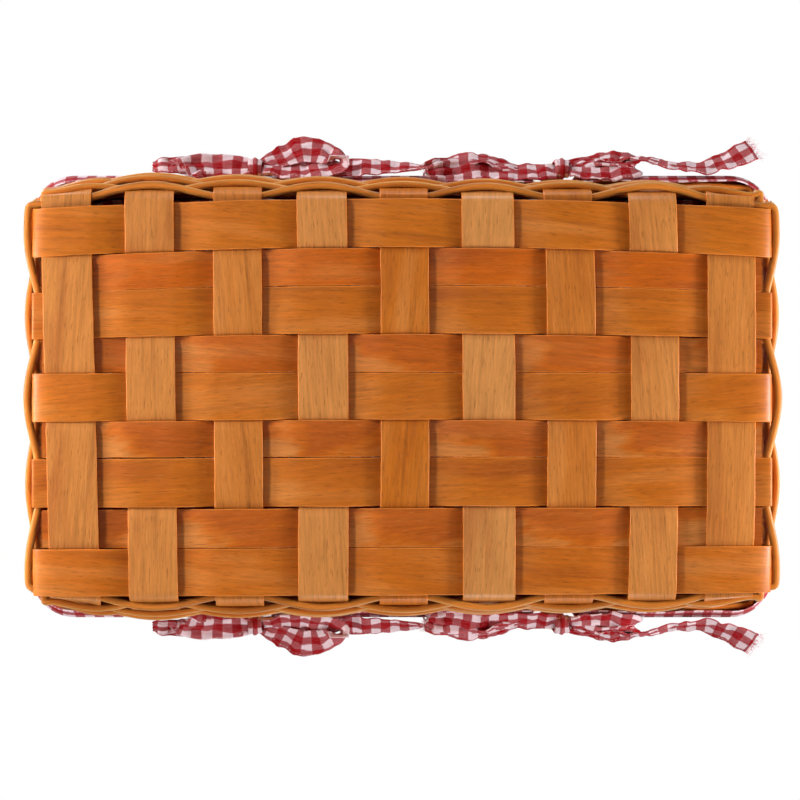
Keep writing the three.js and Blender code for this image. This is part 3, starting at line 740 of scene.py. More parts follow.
def cloth_object(
    name: str,
    rows: np.ndarray,
    flat: np.ndarray,
    thickness: float,
    material: Material,
    closed: bool = False,
) -> Object:
    """Make a sheet of cloth from a grid of points.

    Args:
        name: The piece's name.
        rows: Points of the sheet, rows by columns by 3, in metres.
        flat: Where each point lies on the flat cloth, rows by columns by 2, in metres.
        thickness: The cloth's thickness.
        material: Its material.
        closed: Whether the last row joins the first.

    Returns:
        The piece.
    """
    high, wide = rows.shape[:2]
    mesh = bpy.data.meshes.new(name)
    faces = []
    corners = []
    for r in range(high if closed else high - 1):
        after = (r + 1) % high
        for c in range(wide - 1):
            faces.append((r * wide + c, after * wide + c, after * wide + c + 1, r * wide + c + 1))
            corners += [(r, c), (r + 1, c), (r + 1, c + 1), (r, c + 1)]
    mesh.from_pydata([tuple(p) for p in rows.reshape(-1, 3)], [], faces)
    layer = mesh.uv_layers.new(name="cloth")
    ends = np.concatenate([flat, flat[-1:] * 2 - flat[-2:-1]]) if closed else flat
    layer.data.foreach_set("uv", np.array([ends[r, c] for r, c in corners], dtype=np.float32).ravel())
    mesh.polygons.foreach_set("use_smooth", [True] * len(mesh.polygons))
    mesh.materials.append(material)
    made = bpy.data.objects.new(name, mesh)
    bpy.context.scene.collection.objects.link(made)
    solid = made.modifiers.new("thickness", "SOLIDIFY")
    solid.thickness = thickness
    solid.offset = 0.0
    return made


def smooth_curve(points: Sequence[Sequence[float]], step: float) -> np.ndarray:
    """Draw an even, smooth curve through points that may carry further values.

    Args:
        points: Rows that start with a place of three numbers.
        step: The distance between the points of the curve.

    Returns:
        Rows of the curve.
    """
    rows = np.array(points, dtype=float)
    ends = np.vstack([rows[0] * 2 - rows[1], rows, rows[-1] * 2 - rows[-2]])
    fine = []
    for n in range(len(rows) - 1):
        a, b, c, d = ends[n : n + 4]
        for t in np.linspace(0.0, 1.0, 24, endpoint=False):
            square = (2 * a - 5 * b + 4 * c - d) * t**2
            cube = (3 * b - a - 3 * c + d) * t**3
            fine.append(0.5 * (2 * b + (c - a) * t + square + cube))
    fine.append(rows[-1])
    fine = np.array(fine)
    gaps = np.linalg.norm(np.diff(fine[:, :3], axis=0), axis=1)
    run = np.concatenate([[0.0], np.cumsum(gaps)])
    places = np.linspace(0.0, run[-1], max(4, int(run[-1] / step)))
    return np.column_stack([np.interp(places, run, column) for column in fine.T])


def unit(rows: np.ndarray) -> np.ndarray:
    """Bring each row to length 1."""
    return rows / np.maximum(np.linalg.norm(rows, axis=-1, keepdims=True), 1e-9)


def ripple(place: Sequence[float], scale: float, seed: float) -> float:
    """Give smooth noise from -1 to 1 at a place in millimetres."""
    return noise.noise(Vector((place[0] / scale + seed, place[1] / scale - seed, place[2] / scale)))


def ease(value: float, low: float, high: float) -> float:
    """Rise smoothly from 0 at low to 1 at high."""
    t = min(max((value - low) / (high - low), 0.0), 1.0)
    return t * t * (3 - 2 * t)


@dataclass(frozen=True)
class WallShape:
    """The shape of the wall that every ring of the basket follows, in millimetres."""

    half_x: float = 184.1
    half_y: float = 100.2
    lean: float = 16.0
    long_belly: float = 8.2
    long_foot: float = 9.0
    short_belly: float = 4.8
    short_foot: float = 2.0
    rim_bottom: float = 154.0
    cross_pitch: float = 42.5
    cross_count: int = 9
    long_pitch: float = 43.5
    long_count: int = 5
    foot_corner: float = 1.0
    soft_corner: float = 14.0
    long_pull: float = 9.6
    short_pull: float = 3.6
    pull_reach: float = 42.0
    left_slack: float = 2.2

    def lean_of(self, z: float, belly: float, foot: float) -> float:
        """Give the lean of a wall at a height from its belly near the foot."""
        low = min(z, self.rim_bottom)
        return belly * (1 - math.exp(-low / foot)) + (self.lean - belly) * low / self.rim_bottom

    def out(self, z: float) -> float:
        """Say how far the middle of a long wall stands out beyond its foot at a height."""
        return self.lean_of(z, self.long_belly, self.long_foot)

    def out_at(self, z: float, x: float) -> float:
        """Say the same at a place along the wall, which is slacker on the left than on the right."""
        loose = self.left_slack * ease(z, -4, 30) * (1 - ease(z, 50, 118))
        return self.out(z) - loose * max(-1.0, min(1.0, x / 130.0))

    def out_short(self, z: float) -> float:
        """Say the same of a short wall, which turns up more sharply."""
        return self.lean_of(z, self.short_belly, self.short_foot)

    def softness(self, z: float) -> float:
        """Say how much the corners are drawn in at a height, from 0 to 1."""
        return 1 - ease(z, 118, 150)

    def corner(self, z: float, offset: float) -> float:
        """Give the radius of the wall's corners at a height and offset."""
        return self.foot_corner + self.out(z) + offset + self.soft_corner * self.softness(z)

    def pull(self, most: float, z: float, gap: float) -> float:
        """Say how far the weavers draw the wall in at a distance from a corner."""
        return most * (1 - ease(gap, 0, self.pull_reach)) * self.softness(z) * ease(z, -1, 20)

    def lie(self, most: float, z: float, gap: float, width: float) -> Pair:
        """Lay a stake against the drawn-in wall.

        Args:
            most: How far the corner itself is drawn in.
            z: The height.
            gap: The distance of the stake's middle from the corner.
            width: The stake's width.

        Returns:
            How far in its middle stands, and the angle by which it turns.
        """
        near = self.pull(most, z, gap - width / 2)
        far = self.pull(most, z, gap + width / 2)
        return (near + far) / 2, math.asin((near - far) / width)

    def cross_x(self, k: int) -> float:
        """Give the middle of a cross splint at the rim."""
        return (k - (self.cross_count - 1) / 2) * self.cross_pitch

    def long_y(self, i: int) -> float:
        """Give the middle of a long splint at the rim."""
        return (i - (self.long_count - 1) / 2) * self.long_pitch

    def ring(self, z: float, offset: float, radius: float, step: float) -> tuple[np.ndarray, np.ndarray]:
        """Draw the wall's outline at a height, as a rectangle with rounded corners.

        Args:
            z: The height.
            offset: How far outside the middle of the wall.
            radius: The radius of the corners.
            step: The distance between points.

        Returns:
            The points in the plane and their outward directions, from the middle of the front wall.
        """
        half_x = self.half_x + self.out_short(z) + offset
        half_y = self.half_y + self.out(z) + offset
        flat_x = half_x - radius
        flat_y = half_y - radius
        points: list[Pair] = []
        outward: list[Pair] = []

        def line(start: Pair, end: Pair, way: Pair) -> None:
            """Add a straight stretch without its end.

            Args:
                start: Its first point.
                end: Its last point, which is left out.
                way: Its outward direction.
            """
            count = max(2, round(math.dist(start, end) / step))
            for n in range(count):
                t = n / count
                points.append((start[0] + (end[0] - start[0]) * t, start[1] + (end[1] - start[1]) * t))
                outward.append(way)

        def bend(centre: Pair, first: float) -> None:
            """Add a quarter turn without its end.

            Args:
                centre: The middle of the turn.
                first: The angle at its start, in degrees.
            """
            for n in range(12):
                angle = math.radians(first + 90 * n / 12)
                way = (math.cos(angle), math.sin(angle))
                points.append((centre[0] + radius * way[0], centre[1] + radius * way[1]))
                outward.append(way)

        line((0, -half_y), (flat_x, -half_y), (0, -1))
        bend((flat_x, -flat_y), -90)
        line((half_x, -flat_y), (half_x, flat_y), (1, 0))
        bend((flat_x, flat_y), 0)
        line((flat_x, half_y), (-flat_x, half_y), (0, 1))
        bend((-flat_x, flat_y), 90)
        line((-half_x, flat_y), (-half_x, -flat_y), (-1, 0))
        bend((-flat_x, -flat_y), 180)
        line((-flat_x, -half_y), (0, -half_y), (0, -1))
        return np.array(points), np.array(outward)


WALL = WallShape()


@dataclass(frozen=True)
class StripForm:
    """The section of a strip: its size, how round its edges and faces are, its wear and its sides."""

    width: float
    thick: float
    edge: float
    crown: float
    ragged: float
    sides: int

    def values(self, seed: float, tone: float, heart_and_shade: float, material: Material) -> dict[str, object]:
        """Give the inputs of the strip's tree.

        Args:
            seed: The strip's own grain.
            tone: Its tone, from warm to pale.
            heart_and_shade: Its share of heartwood figure, with painted sheen and shade across each woven
                segment.
            material: Its material.

        Returns:
            The inputs by name.
        """
        return {
            "Width": self.width * MM,
            "Thickness": self.thick * MM,
            "Edge": self.edge,
            "Crown": self.crown,
            "Ragged": self.ragged * MM,
            "Seed": seed,
            "Tone": tone,
            "HeartAndShade": heart_and_shade,
            "Sides": self.sides,
            "Material": material,
        }


def settle(made: Object, body: str, nodes: Sequence[str] = ()) -> Object:
    """Put a finished piece on its body and in place of its solids.

    Args:
        made: The piece.
        body: The body that it rides on.
        nodes: The solids that it replaces.

    Returns:
        The piece.
    """
    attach(made, body)
    if nodes:
        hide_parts(*nodes)
    LOG.info("%s: %d faces on %s", made.name, len(made.data.polygons), body)
    return made


@dataclass(frozen=True)
class Lay:
    """How a splint lies on the base: its middle, slant, bow, width, tone, share of heartwood figure with
    painted sheen and shade, and flare.
    """

    middle: float
    slant: float
    bow: float
    width: float
    tone: float
    heart_and_shade: float
    flare: float = 0.0

    def at(self, share: float) -> float:
        """Give the middle at a share of the base's half length."""
        return self.middle + self.slant * share + self.bow * share * share

    def taper(self, share: float) -> float:
        """Give the share of the full width there."""
        return 1 + self.flare * share * share / self.width


# The sixth value is the share of heartwood figure with painted sheen and shade.
CROSS_LAYS = (
    Lay(-169.4, 2.4, 0.0, 25.6, 1.6, 0.0),
    Lay(-128.2, 1.1, 0.2, 25.0, 1.6, 0.0),
    Lay(-83.6, 0.6, 0.0, 24.8, 1.4, 0.0),
    Lay(-40.2, 0.4, -0.4, 25.6, 1.7, 0.0),
    Lay(1.6, 0.0, -0.6, 24.7, 1.1, 0.1),
    Lay(44.4, 0.4, -0.3, 26.8, 1.9, 0.0),
    Lay(86.8, 0.3, -1.6, 24.9, 1.3, 0.1),
    Lay(129.2, -0.1, -1.4, 24.5, 1.6, 0.1),
    Lay(168.3, -0.4, -0.9, 24.5, 1.5, 0.0),
)
LONG_LAYS = (
    Lay(-88.7, 0.0, 5.2, 24.8, 0.9, 0.1),
    Lay(-44.4, -0.2, 3.3, 24.5, 0.8, 0.2, -0.8),
    Lay(-0.2, 0.0, 0.9, 24.0, 0.85, 0.25, 0.7),
    Lay(43.6, -0.4, 0.6, 25.0, 0.8, 0.25, -0.3),
    Lay(89.4, -0.9, -0.2, 24.3, 0.7, 0.2, -0.4),
)
FILLER_LAYS = (
    Lay(-66.4, -0.2, 4.5, 19.1, 0.2, 0.2, -1.5),
    Lay(-22.1, 0.0, 1.7, 19.4, 0.35, 0.55, -2.4),
    Lay(21.4, 0.0, 1.0, 18.7, 0.45, 0.75, -0.4),
    Lay(67.0, -0.7, 0.2, 20.0, 0.45, 0.65, -0.5),
)


RISE_HEIGHTS = (4.2, 6, 8, 10, 13, 16, 20, 25, 32, 40, 50, 64, 80, 105, 130, 153, 179.7)


@dataclass
class Base:
    """The plaited base, whose splints turn up into the stakes of the wall."""

    strips: GeometrySheet
    fringe: GeometrySheet
    finish: Material
    thick: float = 0.95
    low: float = 0.5
    high: float = 3.6
    edge: float = 0.04
    crown: float = 0.7
    ragged: float = 0.9
    sides: int = 24
    cross_run: float = 11.0
    cross_bend: float = 4.0
    long_bend: float = 11.0
    long_run: float = 24.0
    half_length: float = 186.0
    half_width: float = 100.0
    foot_gap: float = 0.7
    settle_height: float = 70.0
    rise_heights: tuple[float, ...] = RISE_HEIGHTS
    cross: tuple[Lay, ...] = CROSS_LAYS
    long: tuple[Lay, ...] = LONG_LAYS
    fillers: tuple[Lay, ...] = FILLER_LAYS

    def long_is_over(self, i: int, k: int) -> bool:
        """Say whether a long splint shows where it meets a cross splint."""
        return (i + k) % 2 == 0

    def filler_is_over(self, f: int, k: int) -> bool:
        """Say whether a filler shows where it meets a cross splint."""
        return 0 < k < len(self.cross) - 1 and self.long_is_over(f + 1, k)

    def rows(self) -> list[tuple[Lay, Callable[[int], bool]]]:
        """Give the lay and the over-or-under rule of each long row in order.

        Returns:
            Pairs of a lay and its rule.
        """
        order: list[tuple[Lay, Callable[[int], bool]]] = []
        for i, lay in enumerate(self.long):
            order.append((lay, lambda k, i=i: self.long_is_over(i, k)))
            if i < len(self.fillers):
                order.append((self.fillers[i], lambda k, f=i: self.filler_is_over(f, k)))
        return order

    def weave(
        self, spans: list[Pair], levels: list[float], run: float, seed: float
    ) -> Callable[[float], float]:
        """Make the height of a strip along the base.

        Args:
            spans: Middle and width of each strip that it crosses.
            levels: Its height at each of them.
            run: The length over which it changes level.
            seed: Its own small waves.

        Returns:
            A function of the place along the strip.
        """
        changes = []
        for (a, wide_a), (b, wide_b), first, second in zip(spans, spans[1:], levels, levels[1:]):
            if first != second:
                changes.append(((a + wide_a / 2 + b - wide_b / 2) / 2, second - first))

        def height(place: float) -> float:
            """Give the height at a place."""
            rise = sum(step * ease(place, middle - run / 2, middle + run / 2) for middle, step in changes)
            return levels[0] + rise + 0.12 * ripple((place, seed * 9, 0), 21.0, seed)

        return height

    def side_path(
        self, level: float, foot: float, wall: Callable[[float], float], bend: float
    ) -> list[Pair]:
        """Draw one end of a splint from the base up to the rim.

        Args:
            level: Its height where it leaves the base.
            foot: The least distance from the middle of the basket on the wall.
            wall: The distance of the wall at a height.
            bend: The length on the base over which it turns up.

        Returns:
            Places along the splint and heights.
        """
        rise = [(max(foot, wall(z)), float(z)) for z in self.rise_heights]
        corner = (max(foot, wall(level)), level)
        start = (corner[0] - bend, level)
        turn = []
        for n in range(9):
            t = n / 9
            parts = zip(start, corner, rise[0])
            turn.append(tuple((1 - t) ** 2 * s + 2 * t * (1 - t) * c + t * t * e for s, c, e in parts))
        return turn + rise

    def splint(self, name: str, points: list[Point], across: list[Point], lay: Lay, seed: float) -> None:
        """Make one splint from its path.

        Args:
            name: The splint's solid, which it replaces.
            points: Its path.
            across: The direction of its width at each point.
            lay: Its width, flare and tone.
            seed: Its own grain.
        """
        shares = np.array([lay.taper(max(-1.0, min(1.0, x / self.half_length))) for x, _, _ in points])
        form = StripForm(lay.width, self.thick, self.edge, self.crown, self.ragged, self.sides)
        values = form.values(seed, lay.tone, lay.heart_and_shade, self.finish)
        path = path_mesh(np.array(points) * MM, {"across": np.array(across)}, taper=shares)
        settle(self.strips.piece(f"chip_{name}", path, values), "basket", [name])

    def span(self, low: float, high: float, step: float) -> np.ndarray:
        """Give even places between two ends."""
        return np.linspace(low, high, max(2, round((high - low) / step)))

    def whole_path(
        self,
        height: Callable[[float], float],
        feet: Pair,
        wall: Callable[[float], float],
        bend: float,
        step: float,
    ) -> list[Pair]:
        """Draw a splint from rim to rim.

        Args:
            height: Its height along the base.
            feet: The least distance of each of its ends from the middle of the basket.
            wall: The distance of the wall at a height.
            bend: The length on the base over which it turns up.
            step: The distance between points on the base.

        Returns:
            Places along the splint and heights.
        """
        first = self.side_path(height(-feet[0]), feet[0], wall, bend)
        last = self.side_path(height(feet[1]), feet[1], wall, bend)
        flat = [(y, height(y)) for y in self.span(-first[0][0] + step, last[0][0] - step, step)]
        return [(-y, z) for y, z in reversed(first)] + flat + last

    def long_wall(self, x: float, z: float) -> float:
        """Give the distance of a long wall from the middle of the basket at a place and height."""
        return WALL.half_y + WALL.out_at(z, x)

    def short_wall(self, z: float) -> float:
        """Give the distance of a short wall from the middle of the basket at a height."""
        return WALL.half_x + WALL.out_short(z)

    def foot_of(self, k: int, row: int) -> float:
        """Say how far out a cross splint turns up, clear of the outer long splint.

        Args:
            k: The cross splint's place in the order.
            row: The outer long splint, 0 in front or -1 at the back.

        Returns:
            The distance from the middle of the basket.
        """
        middle = self.cross[k].middle
        lay = self.long[row]
        edge = abs(lay.at(middle / self.half_length)) + lay.width / 2
        return max(WALL.half_y, edge + self.foot_gap)

    def build_cross(self, k: int) -> None:
        """Build one cross splint.

        Args:
            k: Its place in the order, from the left.
        """
        lay = self.cross[k]
        rows = self.rows()
        spans = [(row.at(lay.middle / self.half_length), row.width) for row, _ in rows]
        levels = [self.high if rule(k) else self.low for _, rule in rows]
        height = self.weave(spans, levels, self.cross_run, k + 1.0)
        feet = (self.foot_of(k, 0), self.foot_of(k, -1))
        hand = -1 if k == 0 else int(k == len(self.cross) - 1)
        points: list[Point] = []
        across: list[Point] = []
        wall = partial(self.long_wall, lay.middle)
        for y, z in self.whole_path(height, feet, wall, self.cross_bend, 0.9):
            side = -1 if y < 0 else 1
            share = max(-1.05, min(1.05, y / self.half_width))
            blend = max(0.0, 1 - max(0.0, z - 3) / self.settle_height)
            x = WALL.cross_x(k) + (lay.at(share) - WALL.cross_x(k)) * blend
            sunk, turn = 0.0, 0.0
            if hand and abs(y) > self.half_width:
                gap = self.short_wall(z) - abs(x)
                sunk, turn = WALL.lie(WALL.long_pull, z, gap, lay.width)
            points.append((x, y - side * sunk, z))
            across.append((math.cos(turn), -hand * side * math.sin(turn), 0.0))
        self.splint(f"cross_splint_{k + 1}", points, across, lay, k + 1.0)

    def columns_at(self, y: float) -> list[Pair]:
        """Give the middle and width of each cross splint along a row."""
        return [(lay.at(y / self.half_width), lay.width) for lay in self.cross]

    def build_long(self, i: int) -> None:
        """Build one long splint.

        Args:
            i: Its place in the order, from the front.
        """
        lay = self.long[i]
        levels = [self.low if self.long_is_over(i, k) else self.high for k in range(len(self.cross))]
        height = self.weave(self.columns_at(lay.middle), levels, self.long_run, i + 21.0)
        hand = -1 if i == 0 else int(i == len(self.long) - 1)
        points: list[Point] = []
        across: list[Point] = []
        feet = (WALL.half_x, WALL.half_x)
        for x, z in self.whole_path(height, feet, self.short_wall, self.long_bend, 1.6):
            side = -1 if x < 0 else 1
            share = max(-1.0, min(1.0, x / self.half_length))
            blend = max(0.0, 1 - max(0.0, z - 3) / self.settle_height)
            y = WALL.long_y(i) + (lay.at(share) - WALL.long_y(i)) * blend
            sunk, turn = 0.0, 0.0
            if hand and abs(x) > WALL.half_x:
                gap = WALL.half_y + WALL.out(z) - abs(y)
                sunk, turn = WALL.lie(WALL.short_pull, z, gap, lay.width)
            points.append((x - side * sunk, y, z))
            across.append((-hand * side * math.sin(turn), math.cos(turn), 0.0))
        self.splint(f"long_splint_{i + 1}", points, across, lay, i + 21.0)

    def build_filler(self, f: int) -> None:
        """Build one filler with the loose fibres of its cut ends.

        Args:
            f: Its place in the order, from the front.
        """
        name = f"filler_splint_{f + 1}"
        lay = self.fillers[f]
        levels = [self.low if self.filler_is_over(f, k) else self.high for k in range(len(self.cross))]
        height = self.weave(self.columns_at(lay.middle), levels, self.long_run, f + 42.0)
        low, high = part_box(name)
        points: list[Point] = []
        for x in self.span(low[0] / MM, high[0] / MM, 1.6):
            points.append((x, lay.at(x / self.half_length), height(x)))
        self.splint(name, points, [(0.0, 1.0, 0.0)] * len(points), lay, f + 42.0)
        for end, way, side in ((points[0], -1.0, "left"), (points[-1], 1.0, "right")):
            edge = np.array([(end[0], end[1] + s * lay.width / 2, end[2]) for s in (-0.95, 0.0, 0.95)]) * MM
            outward = np.tile(np.array([way, 0.0, 0.0]), (3, 1))
            values = {
                "Length": 2.0 * MM,
                "Thickness": 0.3 * MM,
                "Spread": 0.35,
                "Count": 34,
                "Seed": f * 7 + int(way) + 3,
                "Material": self.finish,
            }
            path = path_mesh(edge, {"outward": outward})
            settle(self.fringe.piece(f"fibres_{name}_{side}", path, values), "basket")

    def build(self) -> None:
        """Build all splints of the base."""
        for k in range(len(self.cross)):
            self.build_cross(k)
        for i in range(len(self.long)):
            self.build_long(i)
        for f in range(len(self.fillers)):
            self.build_filler(f)


@dataclass
class Wall:
    """The weavers of the wall: round strands below and above, wide chips between."""

    strips: GeometrySheet
    rattan: Material
    chip: Material
    strand_thick: float = 3.2
    lower_thick: tuple[float, ...] = (3.9, 3.6, 3.2, 3.2, 3.2, 3.2)
    strand_height: float = 5.0
    lower: tuple[float, ...] = (7.0, 13.0, 19.0, 25.0, 31.0, 37.0)
    inside: tuple[float, ...] = (4.2, 3.2, 2.8, 2.7, 2.7, 2.7)
    outside: tuple[float, ...] = (3.2, 2.6, 3.2, 3.1, 3.2, 3.0)
    bands: tuple[float, ...] = (56.5, 88.5, 120.5)
    upper: tuple[float, ...] = (140.0, 146.0)
    band_height: float = 30.0
    band_thick: float = 1.0
    clear: float = 1.1
    step: float = 1.3
    settle_height: float = 70.0

    def stations(self, z: float, inside: float, outside: float, phase: int) -> list[list[Pair]]:
        """Find the stakes of each side in the order of travel.

        Args:
            z: The height of the weaver.
            inside: Its offset inside a stake.
            outside: Its offset outside a stake.
            phase: Which stakes it goes inside.

        Returns:
            For the front, right, back and left side, each stake's place along it and the weaver's offset.
        """
        blend = max(0.0, 1 - max(0.0, z - 3) / self.settle_height)
        sides: list[list[Pair]] = []
        count = 0
        for side in range(4):
            end = -1.0 if side in (0, 3) else 1.0
            lays = LONG_LAYS if side % 2 else CROSS_LAYS
            rim = WALL.long_y if side % 2 else WALL.cross_x
            order = range(len(lays)) if side < 2 else reversed(range(len(lays)))
            way = 1.0 if side < 2 else -1.0
            row: list[Pair] = []
            for n in order:
                place = rim(n) + (lays[n].at(end) - rim(n)) * blend
                loose = 1 + 0.35 * ripple((place, count * 7.0, z), 50.0, phase * 2.3)
                row.append((way * place, -inside if (count + phase) % 2 == 0 else outside * loose))
                count += 1
            sides.append(row)
        return sides

    def offset(self, row: list[Pair], place: float) -> float:
        """Give a weaver's offset at a place along a side, in even swings from stake to stake.

        Args:
            row: Each stake's place along the side and the weaver's offset there.
            place: A place along the side.

        Returns:
            The offset from the middle of the wall.
        """
        if place <= row[0][0]:
            return row[0][1]
        for (a, first), (b, second) in zip(row, row[1:]):
            if place <= b:
                return first + (second - first) * (1 - math.cos(math.pi * (place - a) / (b - a))) / 2
        return row[-1][1]

    def path(self, z: float, inside: float, outside: float, phase: int) -> np.ndarray:
        """Draw the way of a weaver round the wall.

        Args:
            z: The height of its middle.
            inside: Its offset inside a stake.
            outside: Its offset outside a stake.
            phase: Which stakes it goes inside.

        Returns:
            The points in metres.
        """
        sides = self.stations(z, inside, outside, phase)
        halves = (WALL.half_x + WALL.out_short(z), WALL.half_y + WALL.out(z))
        points: list[Pair] = []
        for side, row in enumerate(sides):
            along, reach = halves[side % 2], halves[1 - side % 2]
            low = -along - sides[side - 1][-1][1]
            high = along + sides[(side + 1) % 4][0][1]
            turn = side * math.pi / 2
            most = WALL.short_pull if side % 2 else WALL.long_pull
            for place in np.arange(low, high, self.step):
                gap = max(0.0, along - abs(float(place)))
                out = reach + self.offset(row, float(place)) - WALL.pull(most, z, gap)
                if side % 2 == 0:
                    out += WALL.out_at(z, float(place) * (1 - side)) - WALL.out(z)
                out += 0.3 * ripple((float(place), side * 40.0, z), 60.0, phase * 3.7)
                x, y = math.cos(turn), math.sin(turn)
                points.append((place * x + out * y, place * y - out * x))
        flat = np.array(points)
        for _ in range(30):
            flat = (np.roll(flat, 1, axis=0) + 2 * flat + np.roll(flat, -1, axis=0)) / 4
        flat = flat[::2]
        lift = [z + 0.5 * ripple((p[0], p[1], z), 45.0, phase * 5.1 + 20) for p in flat]
        return np.column_stack([flat, lift]) * MM

    def weaver(self, name: str, z: float, reach: Pair, thick: float, phase: int) -> None:
        """Make one weaver.

        Args:
            name: The solid that it replaces.
            z: The height of its middle.
            reach: How far inside and outside the stakes it runs.
            thick: Its thickness.
            phase: Which stakes it goes inside.
        """
        is_band = z in self.bands
        points = self.path(z, reach[0], reach[1], phase)
        if is_band:
            form = StripForm(self.band_height, thick, 0.04, 0.7, 0.8, 24)
        else:
            form = StripForm(self.strand_height, thick, 0.62, 0.7, 0.25, 16)
        tone = 0.6 + 0.35 * (phase % 3)
        values = form.values(60.0 + phase, tone, 0.1, self.chip if is_band else self.rattan)
        rise = np.tile(np.array([0.0, 0.0, 1.0]), (len(points), 1))
        made = self.strips.piece(f"woven_{name}", path_mesh(points, {"across": rise}, True), values)
        settle(made, "basket", [name])

    def build(self) -> None:
        """Build all weavers from the foot to the rim."""
        phase = 0
        for n, z in enumerate(self.lower):
            reach = (self.inside[n], self.outside[n])
            self.weaver(f"lower_strand_{n + 1}", z, reach, self.lower_thick[n], phase)
            phase += 1
        for n, z in enumerate(self.bands):
            clear = self.clear + self.band_thick / 2
            self.weaver(f"wall_band_{n + 1}", z, (clear, clear), self.band_thick, phase)
            phase += 1
        for n, z in enumerate(self.upper):
            clear = self.clear + self.strand_thick / 2
            self.weaver(f"upper_strand_{n + 1}", z, (clear, clear), self.strand_thick, phase)
            phase += 1


@dataclass
class Rim:
    """The two hoops that hold the ends of the stakes, and their tacks."""

    strips: GeometrySheet
    finish: Material
    metal: Material
    middle: float = 167.0
    height: float = 26.0
    thick: float = 4.0
    inner: float = -2.8
    outer: float = 2.8

    def build(self) -> None:
        """Build the hoops and dress the tacks."""
        hoops = (("rim_inner_hoop", self.inner, 81.0), ("rim_outer_hoop", self.outer, 82.0))
        for name, offset, seed in hoops:
            flat, _ = WALL.ring(self.middle, offset, WALL.corner(self.middle, offset), 4.0)
            points = np.column_stack([flat, np.full(len(flat), self.middle)]) * MM
            rise = np.tile(np.array([0.0, 0.0, 1.0]), (len(points), 1))
            form = StripForm(self.height, self.thick, 0.09, 0.45, 0.3, 32)
            values = form.values(seed, 0.9, 0.1, self.finish)
            made = self.strips.piece(f"bent_{name}", path_mesh(points, {"across": rise}, True), values)
            settle(made, "basket", [name])
        for name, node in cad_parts.items():
            if name.startswith("rim_tack"):
                dress(node, self.metal)


def dress(node: Object, material: Material) -> None:
    """Give a solid that stays a finished material."""
    node.data.materials.clear()
    node.data.materials.append(material)


@dataclass
class Lining:
    """The sewn cloth bag inside the basket: a floor panel and a wall panel."""

    cloth: Material
    thick: float = 0.7
    wall_offset: float = -7.0
    draw_in: float = 8.0
    radius: float = 10.0
    corner_in: float = 5.0
    floor_z: float = 6.4
    half_x: float = 172.0
    half_y: float = 88.0
    top: float = 180.0
    calm_edge: float = 12.0
    crease: float = 0.9
    seam: float = 4.0
    heights: tuple[float, ...] = (4.2, 6, 9, 13, 18, 25, 34, 45, 58, 72, 88, 105, 122, 138, 152, 164, 173)

    def floor(self) -> None:
        """Lay the floor panel, with soft creases."""
        xs = np.linspace(-self.half_x, self.half_x, 121)
        ys = np.linspace(-self.half_y, self.half_y, 65)
        rows = np.zeros((len(xs), len(ys), 3))
        flat = np.zeros((len(xs), len(ys), 2))
        for a, x in enumerate(xs):
            for b, y in enumerate(ys):
                inside = min(self.half_x - abs(x), self.half_y - abs(y))
                fade = max(0.0, min(1.0, inside / self.calm_edge))
                pull = 1 - 0.012 * (abs(x) / self.half_x) ** 8 * (abs(y) / self.half_y) ** 8
                crease = ripple((x, y, 0), 42.0, 3.0) + 0.5 * ripple((x, y, 0), 17.0, 9.0)
                rows[a, b] = (x * pull, y * pull, self.floor_z + fade * self.crease * (0.4 + crease))
                flat[a, b] = (x, y)
        made = cloth_object("lining_floor_panel", rows * MM, flat * MM, self.thick * MM, self.cloth)
        settle(made, "basket", ["lining_floor"])
        size = (2 * self.half_y * MM, 2 * self.half_x * MM)

    def drawn_in(self, spot: np.ndarray, way: np.ndarray, z: float) -> np.ndarray:
        """Say how far the corners of the wall push the cloth in.

        Args:
            spot: A place on the cloth.
            way: Its outward direction.
            z: The height that the wall has there.

        Returns:
            The shift in the plane.
        """
        gap_x = max(0.0, WALL.half_x + WALL.out_short(z) - abs(float(spot[0])))
        gap_y = max(0.0, WALL.half_y + WALL.out(z) - abs(float(spot[1])))
        share_x, share_y = float(way[0]) ** 2, float(way[1]) ** 2
        round_off = self.corner_in * WALL.softness(z) * 2 * math.sqrt(share_x * share_y)
        push_x = share_x * WALL.pull(WALL.short_pull, z, gap_y)
        push_y = share_y * WALL.pull(WALL.long_pull, z, gap_x)
        return way * round_off + np.array([math.copysign(push_x, spot[0]), math.copysign(push_y, spot[1])])

    def wall(self) -> None:
        """Hang the wall panel, with folds that die out at its seams."""
        heights = [*self.heights, self.top]
        spots, ways = WALL.ring(self.top, self.wall_offset, self.radius, 4.0)
        count = len(spots)
        run = np.concatenate([[0.0], np.cumsum(np.linalg.norm(np.diff(spots, axis=0), axis=1))])
        rows = np.zeros((count, len(heights), 3))
        flat = np.zeros((count, len(heights), 2))
        for b, z in enumerate(heights):
            inset = WALL.out(self.top) - WALL.out(z) + self.draw_in * (1 - ease(z, 8, 80))
            belly = math.sin(math.pi * min(1.0, max(0.0, (z - 4) / 176))) ** 0.7
            low = max(z - 18.0, min(z, 20.0))
            for a in range(count):
                fold = 0.55 * ripple((run[a], z * 0.25, 0), 24.0, 5.0)
                fold += 0.35 * ripple((run[a], z, 0), 30.0, 8.0)
                shrink = 1 - inset / np.array([self.half_x + 28, self.half_y + 28])
                rows[a, b, :2] = spots[a] * shrink - ways[a] * belly * (0.9 * fold + 0.5)
                rows[a, b, :2] -= self.drawn_in(rows[a, b, :2], ways[a], low)
                rows[a, b, 2] = z
                flat[a, b] = (run[a], z)
        made = cloth_object("lining_wall_panel", rows * MM, flat * MM, self.thick * MM, self.cloth, True)
        settle(made, "basket", ["lining_wall"])
        length = float(run[-1]) + self.seam
        length * MM

    def build(self) -> None:
        """Build both panels."""
        self.floor()
        self.wall()


